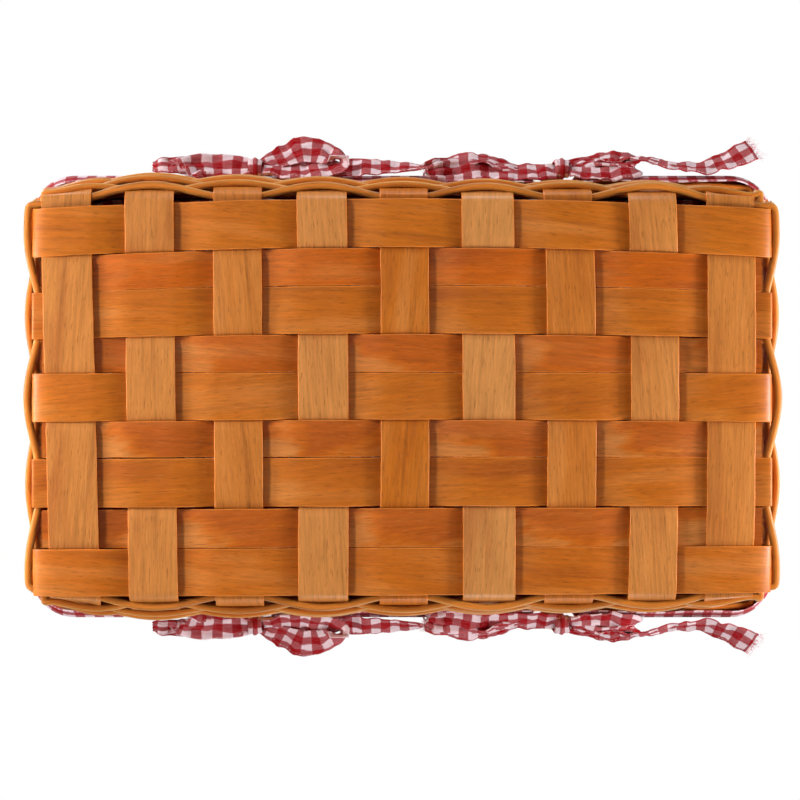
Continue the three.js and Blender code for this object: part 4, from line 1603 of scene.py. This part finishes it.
@dataclass
class Cuffs:
    """The four panels of cloth turned over the rim, with a stitched hem."""

    cloth: Material
    thread: Material
    stitches: GeometrySheet
    thick: float = 0.7
    inner: float = -7.0
    outer: float = 7.2
    top: float = 180.9
    hem: float = 132.6
    slot: float = 12.0
    handle_x: float = 85.0
    rim_z: float = 175.0
    tight: float = 4.4
    calm_end: float = 14.0
    fold_pitch: float = 9.5
    dip: float = 1.1

    def section(self, swing: float) -> list[tuple[float, float, float]]:
        """Draw the section of the cuff from its inner edge over the rim to its hem.

        Args:
            swing: How far the hem stands out.

        Returns:
            Offsets from the wall, heights, and the run along the cloth.
        """
        start = self.inner + 1.2
        points = [(self.inner, self.top - 0.6), (self.inner + 0.4, self.top - 0.1), (start, self.top)]
        points += [(start + 10.6 * t, self.top) for t in (0.25, 0.5, 0.75, 1.0)]
        points += [(self.outer - 0.5, self.top - 0.3), (self.outer, self.top - 1.2)]
        for t in np.linspace(0.05, 1.0, 20):
            turned = ease(t, 0.66, 1.0)
            points.append((self.outer + swing * turned, self.top - 1.2 - (self.top - 1.2 - self.hem) * t))
        run = 0.0
        rows = []
        for n, (offset, z) in enumerate(points):
            run += math.dist(points[n - 1], points[n]) if n else 0.0
            rows.append((offset, z, run))
        return rows

    def panel(self, name: str, start: float, end: float, full: float) -> None:
        """Make one panel between two slots.

        Args:
            name: The solid that it replaces.
            start: Where it starts along the rim.
            end: Where it ends.
            full: How far the folds swing out from the drawn-in hem.
        """
        points, outward = WALL.ring(self.rim_z, 0.0, WALL.corner(self.rim_z, 0.0), 2.0)
        gaps = np.linalg.norm(np.roll(points, -1, axis=0) - points, axis=1)
        run = np.concatenate([[0.0], np.cumsum(gaps)])
        ring = np.vstack([points, points[:1]])
        ways = np.vstack([outward, outward[:1]])
        rows = []
        flat = []
        hem_line = []
        for place in np.linspace(start, end, max(8, round((end - start) / 2.4))):
            at = place % run[-1]
            spot = np.array([np.interp(at, run, ring[:, 0]), np.interp(at, run, ring[:, 1])])
            way = unit(np.array([np.interp(at, run, ways[:, 0]), np.interp(at, run, ways[:, 1])]))
            calm = max(0.0, min(1.0, (place - start) / self.calm_end, (end - place) / self.calm_end))
            fold = 0.5 + 0.5 * math.cos(place / self.fold_pitch + 1.6 * ripple((place, 0, 0), 40.0, 2.0))
            section = self.section(calm * full * fold - self.tight)
            dip = self.dip * ripple((place, 5.0, 0), 26.0, 4.0)
            line = []
            for offset, z, _ in section:
                down = max(0.0, (self.top - z) / (self.top - self.hem))
                line.append((*(spot + way * offset), z + dip * down))
            rows.append(line)
            flat.append([(place, length) for _, _, length in section])
            base = spot + way * (section[-2][0] + self.thick / 2 + 0.1)
            hem_line.append((base[0], base[1], section[-2][1] + dip * 0.9))
        cloth_rows, cloth_flat = np.array(rows), np.array(flat)
        made = cloth_object(f"{name}_cloth", cloth_rows * MM, cloth_flat * MM, self.thick * MM, self.cloth)
        settle(made, "basket", [name])
        values = {"Pitch": 2.6 * MM, "Length": 1.8 * MM, "Thickness": 0.32 * MM, "Seed": 5}
        line_mesh = path_mesh(np.array(hem_line) * MM, {})
        sewn = self.stitches.piece(f"{name}_stitches", line_mesh, {**values, "Material": self.thread})
        settle(sewn, "basket")
        size = (float(cloth_flat[0, -1, 1]) * MM, (end - start) * MM)

    def build(self) -> None:
        """Build the four panels between the handles' feet."""
        points, _ = WALL.ring(self.rim_z, 0.0, WALL.corner(self.rim_z, 0.0), 2.0)
        total = float(np.linalg.norm(np.roll(points, -1, axis=0) - points, axis=1).sum())
        near = self.handle_x - self.slot
        far = self.handle_x + self.slot
        half = total / 2
        self.panel("cuff_right", far, half - far, 0.9)
        self.panel("cuff_back", half - near, half + near, 0.6)
        self.panel("cuff_left", half + far, total - far, 0.9)
        self.panel("cuff_front", total - near, total + near, 0.6)


@dataclass(frozen=True)
class Ribbon:
    """One run of a tie: rows of x, distance out, height, width's direction, width and pleat."""

    name: str
    rows: tuple[tuple[float, ...], ...]
    start: float = 0.0
    frayed: bool = False
    folds: float = 3.0


LEFT_BOW = (
    Ribbon(
        "end",
        (
            (-81, 126.8, 141, 0, 0.62, 0.78, 12, 1.6),
            (-91, 128.2, 141, 0, 0.7, 0.71, 17, 1.5),
            (-101, 128.4, 141, 0, 0.72, 0.7, 18, 1.3),
            (-110, 128.6, 139, -0.3, 0.85, 0.5, 19, 1.4),
            (-116, 128.2, 135.5, -0.7, 0.6, 0.35, 20, 1.3),
            (-121, 126.2, 131.5, -0.92, 0.35, 0.2, 21, 1.0),
        ),
        0.002,
        True,
    ),
    Ribbon(
        "tip",
        (
            (-83, 128.6, 144, 0, 0.6, 0.8, 10, 1.2),
            (-99, 130.4, 146, 0, 0.7, 0.7, 13, 1.1),
            (-113, 130.4, 146, 0, 0.8, 0.6, 12, 0.9),
            (-127, 129.2, 144.5, 0, 0.9, 0.4, 10.5, 0.7),
            (-134, 129.0, 143.6, 0, 0.92, 0.38, 9, 0.5),
            (-138.2, 128.8, 144.2, 0, 0.92, 0.38, 6.5, 0.3),
            (-139.8, 128.8, 146.6, 0, 0.92, 0.38, 4.6, 0.2),
            (-137.6, 128.9, 149.4, 0, 0.92, 0.38, 6.5, 0.3),
            (-126, 129.4, 151, 0, 0.85, 0.5, 10.5, 0.6),
            (-110, 129.6, 151, 0, 0.75, 0.65, 12, 0.9),
        ),
        0.031,
    ),
    Ribbon(
        "loop",
        (
            (-79, 128.4, 144, 0, 0.62, 0.78, 11, 1.6),
            (-68, 132.4, 146, -0.25, 0.68, 0.72, 16, 1.2),
            (-57.5, 137.2, 147, -0.3, 0.78, 0.6, 19, 1.0),
            (-47, 137.4, 147, -0.1, 0.74, 0.67, 18, 0.9),
            (-38.5, 134.6, 145, 0, 0.62, 0.78, 18, 0.7),
            (-35, 131.2, 143, 0, 0.52, 0.86, 17, 0.5),
            (-39.5, 128.2, 140, 0, 0.54, 0.84, 18, 0.6),
            (-53, 126.0, 138, 0, 0.56, 0.83, 17, 0.7),
            (-66, 125.4, 138, 0, 0.56, 0.83, 15, 1.1),
            (-77, 126.4, 139, 0, 0.56, 0.83, 11, 1.6),
        ),
        0.012,
    ),
    Ribbon(
        "tail",
        (
            (-79, 128.0, 146, 0, 0.4, 0.9, 9, 1.3),
            (-57, 127.4, 146, 0, 0.5, 0.86, 16, 0.9),
            (-33, 127.0, 145, 0, 0.56, 0.83, 18, 0.5),
            (-15, 127.8, 144, 0, 0.47, 0.88, 18, 0.4),
            (3, 127.8, 144, 0, 0.3, 0.95, 18, 0.4),
            (17, 126.8, 143, 0, 0.16, 0.98, 18, 0.4),
        ),
        0.007,
        True,
    ),
)
RIGHT_BOW = (
    Ribbon(
        "end",
        (
            (87, 126.2, 141, 0, 0.56, 0.83, 12, 1.4),
            (75, 125.4, 140.5, 0, 0.56, 0.83, 17, 1.1),
            (63, 125.4, 140.5, 0, 0.56, 0.83, 18, 1.0),
            (53, 125.8, 140.5, 0, 0.6, 0.8, 20, 1.3),
            (42, 126.6, 139, 0.1, 0.72, 0.7, 21, 1.6),
            (31, 125.4, 137, 0.2, 0.75, 0.6, 20, 1.7),
            (22, 124.8, 133, 0.5, 0.6, 0.55, 17, 1.5),
            (14.5, 124.2, 129, 0.6, 0.4, 0.6, 13, 1.1),
        ),
        0.004,
        True,
        4.0,
    ),
    Ribbon(
        "fold",
        (
            (68, 126.2, 145, 0, 0.35, 0.93, 10, 0.9),
            (58, 129.4, 146, 0.2, 0.4, 0.9, 14, 0.8),
            (48.5, 132.2, 147, 0.1, 0.4, 0.9, 16, 0.7),
            (37, 133.6, 147, 0, 0.4, 0.9, 16, 0.7),
            (27, 132.0, 146, -0.1, 0.4, 0.9, 16, 0.7),
            (19.5, 127.6, 144, -0.2, 0.4, 0.9, 14, 0.8),
            (15.5, 123.2, 140, -0.3, 0.4, 0.85, 10, 0.9),
        ),
        0.021,
    ),
    Ribbon(
        "loop",
        (
            (91, 127.0, 144, 0, 0.56, 0.83, 11, 1.5),
            (101, 129.8, 146, -0.1, 0.5, 0.86, 15, 1.1),
            (111, 132.0, 147, -0.1, 0.5, 0.86, 17, 0.7),
            (120.5, 132.4, 146, -0.1, 0.5, 0.86, 18, 0.4),
            (127.5, 130.4, 145, 0, 0.58, 0.81, 15, 0.4),
            (130, 128.4, 142, 0, 0.62, 0.78, 12, 0.3),
            (126, 127.0, 139, 0, 0.68, 0.72, 15, 0.5),
            (116, 126.2, 137.5, -0.15, 0.7, 0.68, 18, 0.9),
            (105, 125.8, 137.5, -0.2, 0.65, 0.72, 16, 1.0),
            (94, 126.2, 139.5, 0, 0.58, 0.81, 11, 1.6),
        ),
        0.016,
    ),
    Ribbon(
        "tail",
        (
            (90, 128.4, 147, 0, 0.3, 0.95, 9, 1.2),
            (111, 132.4, 149, 0, 0.28, 0.96, 15, 0.7),
            (127, 133.6, 149, 0, 0.26, 0.97, 16, 0.6),
            (139, 131.2, 147, 0, 0.26, 0.97, 16, 0.6),
            (150, 128.9, 146, 0, 0.32, 0.95, 17, 0.6),
            (160, 128.4, 146, 0, 0.44, 0.9, 18, 0.4),
            (171, 128.5, 145, 0, 0.44, 0.9, 18, 0.3),
            (183.5, 132.0, 145, -0.3, 0.5, 0.8, 18, 0.2),
            (195.5, 138.4, 145, -0.3, 0.62, 0.7, 18, 0.1),
        ),
        0.009,
        True,
    ),
)


@dataclass
class Bows:
    """Ties of folded cloth, knotted below each foot of a handle."""

    cloth: Material
    thread: Material
    stitches: GeometrySheet
    fringe: GeometrySheet
    thick: float = 0.5
    knot_width: float = 9.0
    knot_radius: float = 5.3
    knot_height: float = 1.25
    tie_width: float = 18.0
    mean_width: float = 16.5
    knot_run: float = 40.0
    tucked: float = 30.0

    def sheet_rows(self, ribbon: Ribbon, side: Side) -> tuple[np.ndarray, np.ndarray]:
        """Shape one run of a tie.

        Args:
            ribbon: The run.
            side: The wall that it sits on.

        Returns:
            Points of the cloth, and where they lie on the flat cloth, both in millimetres.
        """
        curve = smooth_curve(ribbon.rows, 1.3)
        path = curve[:, :3]
        along = unit(np.gradient(path, axis=0))
        wide = curve[:, 3:6]
        wide = unit(wide - along * np.sum(wide * along, axis=1, keepdims=True))
        face = np.cross(along, wide)
        run = np.concatenate([[0.0], np.cumsum(np.linalg.norm(np.diff(path, axis=0), axis=1))])
        seed = ribbon.start * 1000
        shares = np.linspace(-0.5, 0.5, 15)
        rows = np.zeros((len(path), len(shares), 3))
        flat = np.zeros((len(path), len(shares), 2))
        for a, spot in enumerate(path):
            width, pleat = curve[a, 6], curve[a, 7]
            for b, share in enumerate(shares):
                wave = math.cos(2 * math.pi * ribbon.folds * share + 0.12 * run[a] + ribbon.start * 900)
                here = spot + wide[a] * share * width
                crush = 1.5 * ripple(here, 8.5, seed) + 0.9 * ripple(here, 4.4, 3.0)
                crush += 2.6 * abs(ripple(here, 10.0, seed + 5.0)) - 1.0
                rows[a, b] = here + face[a] * (pleat * wave + crush)
                flat[a, b] = (run[a] + ribbon.start / MM, share * 19.0 + ribbon.start * 400)
        rows[:, :, 1] *= side.value
        if side is Side.FRONT:
            return rows, flat
        return rows[:, ::-1], flat[:, ::-1]

    def knot_rows(self, x: float, out: float, z: float, side: Side) -> tuple[np.ndarray, np.ndarray]:
        """Shape the band that goes round the middle of a bow.

        Args:
            x: Where it is along the wall.
            out: How far out.
            z: Its height.
            side: The wall that it sits on.

        Returns:
            Points of the cloth, and where they lie on the flat cloth, both in millimetres.
        """
        turns = np.linspace(0.0, 2 * math.pi, 40, endpoint=False)
        shares = np.linspace(-0.5, 0.5, 13)
        rows = np.zeros((len(turns), len(shares), 3))
        flat = np.zeros((len(turns), len(shares), 2))
        for a, turn in enumerate(turns):
            for b, share in enumerate(shares):
                bulge = 1 - 1.5 * abs(share) ** 2.2
                crease = 0.45 * math.cos(2 * math.pi * 2.5 * share + 1.2 * math.sin(turn))
                radius = self.knot_radius * bulge + crease
                radius += 0.5 * ripple((turn * 4, share * 9, x), 3.0, 7.0)
                lean = 1.6 * math.sin(turn) * share
                reach = out + radius * math.cos(turn)
                rise = z + radius * self.knot_height * math.sin(turn)
                rows[a, b] = (x + share * self.knot_width + lean, reach * side.value, rise)
                flat[a, b] = (turn * self.knot_radius, share * 16 + 2.0)
        if side is Side.FRONT:
            return rows[:, ::-1], flat[:, ::-1]
        return rows, flat

    def join(self, name: str, parts: list[Object]) -> Object:
        """Make one piece of several runs of cloth.

        Args:
            name: Its name.
            parts: The runs.

        Returns:
            The piece.
        """
        with bpy.context.temp_override(active_object=parts[0], selected_editable_objects=parts):
            bpy.ops.object.join()
        parts[0].name = name
        parts[0].data.name = name
        return parts[0]

    def bow(self, node: str, ribbons: Sequence[Ribbon], knot: Point, side: Side) -> None:
        """Tie one bow.

        Args:
            node: The solid that it replaces.
            ribbons: Its runs.
            knot: The middle of its knot.
            side: The wall that it sits on.
        """
        parts = []
        extras = []
        length = 0.0
        for ribbon in ribbons:
            rows, flat = self.sheet_rows(ribbon, side)
            label = f"{node}_{ribbon.name}"
            parts.append(cloth_object(label, rows * MM, flat * MM, self.thick * MM, self.cloth))
            length += float(abs(flat[-1, 0, 0] - flat[0, 0, 0]))
            extras.append(self.hem(f"{label}_stitches", rows))
            if ribbon.frayed:
                extras.append(self.fray(f"{label}_threads", rows, len(extras)))
        rows, flat = self.knot_rows(*knot, side)
        parts.append(cloth_object(f"{node}_knot", rows * MM, flat * MM, self.thick * MM, self.cloth, True))
        made = self.join(f"{node}_tie", parts)
        settle(made, "basket", [node])
        for extra in extras:
            settle(extra, "basket")
        area = (length * self.mean_width + self.knot_run * self.knot_width) * MM * MM
        flat_size = (self.tie_width * MM, (length + self.tucked) * MM)

    def hem(self, name: str, rows: np.ndarray) -> Object:
        """Sew a line of stitches along one edge of a run.

        Args:
            name: The piece's name.
            rows: The points of the run.

        Returns:
            The stitches.
        """
        face = unit(np.cross(np.gradient(rows[:, 1], axis=0), rows[:, 2] - rows[:, 0]))
        down = np.where(face[:, 2:3] > 0, -face, face)
        line = rows[:, 1] + down * (self.thick / 2 + 0.05)
        values = {"Pitch": 2.2 * MM, "Length": 1.6 * MM, "Thickness": 0.3 * MM, "Seed": 3}
        return self.stitches.piece(name, path_mesh(line * MM, {}), {**values, "Material": self.thread})

    def fray(self, name: str, rows: np.ndarray, seed: int) -> Object:
        """Leave loose threads at the cut end of a run.

        Args:
            name: The piece's name.
            rows: The points of the run.
            seed: The threads' own order.

        Returns:
            The threads.
        """
        outward = unit(rows[-1] - rows[-3])
        values = {
            "Length": 5.6 * MM,
            "Thickness": 0.26 * MM,
            "Spread": 0.7,
            "Count": 64,
            "Seed": seed,
            "Material": self.thread,
        }
        return self.fringe.piece(name, path_mesh(rows[-1] * MM, {"outward": outward}), values)

    def build(self) -> None:
        """Tie the four bows."""
        for side, wall in ((Side.FRONT, "front"), (Side.BACK, "back")):
            self.bow(f"bow_{wall}_left", LEFT_BOW, (-82.0, 127.4, 141.0), side)
            self.bow(f"bow_{wall}_right", RIGHT_BOW, (89.0, 127.0, 141.0), side)


@dataclass
class Handles:
    """Two bent strips of wood that swing on rivets through the rim."""

    strips: GeometrySheet
    rivets: GeometrySheet
    finish: Material
    block: Material
    metal: Material
    pivot_x: float = 85.0
    pivot_z: float = 167.0
    leg_y: float = 127.1
    reach: float = 157.5
    bend: float = 72.5
    toe: float = 11.0
    width: float = 18.0
    thick: float = 5.0
    lean: float = 28.7
    head: float = 5.5
    dome: float = 2.2
    shank: float = 2.4
    burr: float = 4.5
    grip: float = 18.9
    head_gap: float = 0.3

    def half_path(self) -> list[Pair]:
        """Draw half a handle from its toe to the middle of its top, as places along Y and reach.

        Returns:
            Places along Y, and distances from the pivot.
        """
        leg = np.concatenate([np.linspace(-self.toe, 0, 14), np.linspace(6, self.reach - self.bend, 14)])
        points = [(self.leg_y, r) for r in leg]
        for n in range(1, 17):
            angle = math.radians(90 * n / 16)
            y = self.leg_y - self.bend * (1 - math.cos(angle))
            points.append((y, self.reach - self.bend * (1 - math.sin(angle))))
        inner = self.leg_y - self.bend
        points += [(inner * (1 - n / 8), self.reach) for n in range(1, 9)]
        return points

    def build_handle(self, name: str, body: str, side: int) -> None:
        """Bend one handle.

        Args:
            name: The solid that it replaces.
            body: The body that it rides on.
            side: -1 for the left one, 1 for the right one.
        """
        half = self.half_path()
        path = half + [(-y, r) for y, r in reversed(half[:-1])]
        angle = math.radians(self.lean)
        points = []
        taper = []
        for y, r in path:
            x = side * (self.pivot_x - r * math.sin(angle))
            points.append((x, y, self.pivot_z + r * math.cos(angle)))
            past = max(0.0, -r - (self.toe - self.width / 2)) / (self.width / 2)
            taper.append(math.sqrt(max(0.02, 1 - past * past)))
        across = np.tile(np.array([side * math.cos(angle), 0.0, math.sin(angle)]), (len(points), 1))
        form = StripForm(self.width, self.thick, 0.16, 0.42, 0.25, 32)
        values = form.values(91.0 + side, 0.9, 0.1, self.finish)
        mesh = path_mesh(np.array(points) * MM, {"across": across}, False, np.array(taper))
        settle(self.strips.piece(f"bent_{name}", mesh, values), body, [name])

    def build(self) -> None:
        """Bend both handles and set their rivets."""
        self.build_handle("handle_left", "left_handle", -1)
        self.build_handle("handle_right", "right_handle", 1)
        face = self.leg_y + self.thick / 2 + self.head_gap
        points = []
        outward = []
        nodes = []
        for wall, way in (("front", -1), ("back", 1)):
            for hand, side in (("left", -1), ("right", 1)):
                points.append((side * self.pivot_x, way * face, self.pivot_z))
                outward.append((0.0, float(way), 0.0))
                nodes.append(f"pivot_pin_{wall}_{hand}")
        values = {
            "Head": self.head * MM,
            "Dome": self.dome * MM,
            "Shank": self.shank * MM,
            "Burr": self.burr * MM,
            "Length": self.grip * MM,
            "Material": self.metal,
        }
        mesh = path_mesh(np.array(points) * MM, {"outward": np.array(outward)})
        settle(self.rivets.piece("pivot_rivets", mesh, values), "basket", nodes)
        for name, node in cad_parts.items():
            if name.startswith("pivot_spacer"):
                dress(node, self.block)


@dataclass(frozen=True)
class Lamp:
    """A soft square lamp that faces the basket: its name, place, side and power in watts."""

    name: str
    place: Point
    size: float
    power: float
    aim: Point = (0.0, 0.0, 0.05)

    def hang(self) -> None:
        """Hang the lamp."""
        light = bpy.data.lights.new(self.name, "AREA")
        light.energy = self.power
        light.size = self.size
        made = bpy.data.objects.new(self.name, light)
        made.location = self.place
        way = Vector(self.aim) - Vector(self.place)
        made.rotation_euler = way.to_track_quat("-Z", "Y").to_euler()
        bpy.context.scene.collection.objects.link(made)


LAMPS = (
    Lamp("key_below", (-0.82, -0.5, -0.46), 0.18, 6.2),
    Lamp("key_back", (-0.8, 0.56, -0.46), 0.18, 3.7),
    Lamp("side_below", (0.62, 0.22, -0.34), 0.22, 1.2),
    Lamp("edge_below", (0.6, 0.02, -0.09), 0.14, 3.2),
    Lamp("left_below", (-0.46, -0.02, -0.07), 0.1, 1.1),
    Lamp("back_below", (0.05, 0.6, -0.08), 0.12, 1.2),
    Lamp("front_below", (0.05, -0.6, -0.08), 0.12, 1.2),
    Lamp("sheen_below", (-0.45, -0.3, -1.3), 0.5, 1.0),
    Lamp("key_above", (-0.9, -1.1, 1.3), 0.7, 18.0),
    Lamp("fill_above", (1.0, 1.1, 1.3), 1.2, 16.0),
    Lamp("round_above", (0.0, 0.1, 2.4), 2.8, 30.0),
)


@dataclass
class Studio:
    """The floor, the light and the camera below the basket."""

    floor: Material
    camera_place: Point = (0.0, 0.0, -1.5)
    lens: float = 132.35
    shift_x: float = -0.0025
    shift_y: float = -0.0044
    ambient: float = 0.06
    floor_reach: float = 4.0
    sensor: float = 36.0
    sight: float = 20.0

    def lay_floor(self) -> None:
        """Lay the floor that the basket stands on."""
        mesh = bpy.data.meshes.new("floor")
        reach = self.floor_reach
        corners = [(-reach, -reach, 0.0), (reach, -reach, 0.0), (reach, reach, 0.0), (-reach, reach, 0.0)]
        mesh.from_pydata(corners, [], [(0, 1, 2, 3)])
        mesh.materials.append(self.floor)
        made = bpy.data.objects.new("floor", mesh)
        bpy.context.scene.collection.objects.link(made)

    def sky(self) -> None:
        """Light the room evenly, and show a white background that only the side behind the camera lacks."""
        world = bpy.data.worlds.new("studio")
        world.use_nodes = True
        world.node_tree.nodes.clear()
        bpy.context.scene.world = world
        sheet = NodeSheet(world.node_tree)
        camera = sheet.add("ShaderNodeLightPath", None, None, "Is Camera Ray")
        _, _, rise = sheet.split(sheet.add("ShaderNodeTexCoord", None, None, "Generated"))
        mirrored = camera.output("Is Glossy Ray") * rise.step(-0.75, -0.35)
        seen = camera.most(mirrored).most(camera.output("Is Transmission Ray"))
        strength = self.ambient + seen * (1.0 - self.ambient)
        white = (1.0, 1.0, 1.0, 1.0)
        glow = sheet.add("ShaderNodeBackground", None, {"Color": white, "Strength": strength})
        output = world.node_tree.nodes.new("ShaderNodeOutputWorld")
        world.node_tree.links.new(glow.socket, output.inputs["Surface"])

    def build(self) -> None:
        """Set up the whole studio."""
        self.lay_floor()
        self.sky()
        for lamp in LAMPS:
            lamp.hang()
        lens = bpy.data.cameras.new("camera")
        lens.lens = self.lens
        lens.sensor_width = self.sensor
        lens.shift_x = self.shift_x
        lens.shift_y = self.shift_y
        lens.clip_end = self.sight
        camera = bpy.data.objects.new("camera", lens)
        turn = Matrix(((1, 0, 0), (0, -1, 0), (0, 0, -1))).to_4x4()
        camera.matrix_world = Matrix.Translation(self.camera_place) @ turn
        bpy.context.scene.collection.objects.link(camera)
        bpy.context.scene.camera = camera
        bpy.context.scene.view_settings.view_transform = "Standard"


CHIP = WoodFinish(
    "honey_chip",
    warm=shade(206, 98, 14),
    body=shade(202, 110, 24),
    pale=shade(216, 144, 76),
    dark=shade(128, 62, 22),
    heart_and_shade=shade(168, 76, 26),
)
RATTAN = WoodFinish(
    "rattan_strand",
    warm=shade(190, 112, 36),
    body=shade(208, 136, 52),
    pale=shade(232, 172, 88),
    dark=shade(118, 64, 20),
    heart_and_shade=shade(160, 80, 28),
    roughness=0.42,
    streak_count=900.0,
)
RIM_WOOD = WoodFinish(
    "rim_wood",
    warm=shade(178, 98, 38),
    body=shade(186, 112, 48),
    pale=shade(204, 136, 70),
    dark=shade(120, 64, 26),
    heart_and_shade=shade(150, 74, 32),
    roughness=0.38,
    streak_count=300.0,
)
HANDLE_WOOD = WoodFinish(
    "handle_wood",
    warm=shade(172, 94, 36),
    body=shade(182, 108, 46),
    pale=shade(202, 134, 68),
    dark=shade(114, 60, 24),
    heart_and_shade=shade(146, 72, 30),
    roughness=0.34,
    streak_count=320.0,
)
SPACER_WOOD = replace(HANDLE_WOOD, name="spacer_wood", roughness=0.38, source=GrainSource.BLOCK)


def main() -> None:
    """Build the basket's pieces in order, and the studio."""
    logging.basicConfig(level=logging.INFO, format="%(name)s: %(message)s")
    chip = CHIP.material()
    cloth = CheckedCloth().material()
    thread = Thread().material()
    brass = DullBrass().material()
    strips = strip_tree()
    stitches = stitch_tree()
    fringe = fringe_tree()
    Base(strips, fringe, chip).build()
    Wall(strips, RATTAN.material(), chip).build()
    Rim(strips, RIM_WOOD.material(), brass).build()
    Lining(cloth).build()
    Cuffs(cloth, thread, stitches).build()
    Bows(cloth, thread, stitches, fringe).build()
    Handles(strips, rivet_tree(), HANDLE_WOOD.material(), SPACER_WOOD.material(), brass).build()
    Studio(StudioFloor().material()).build()


if __name__ == "__main__":
    main()
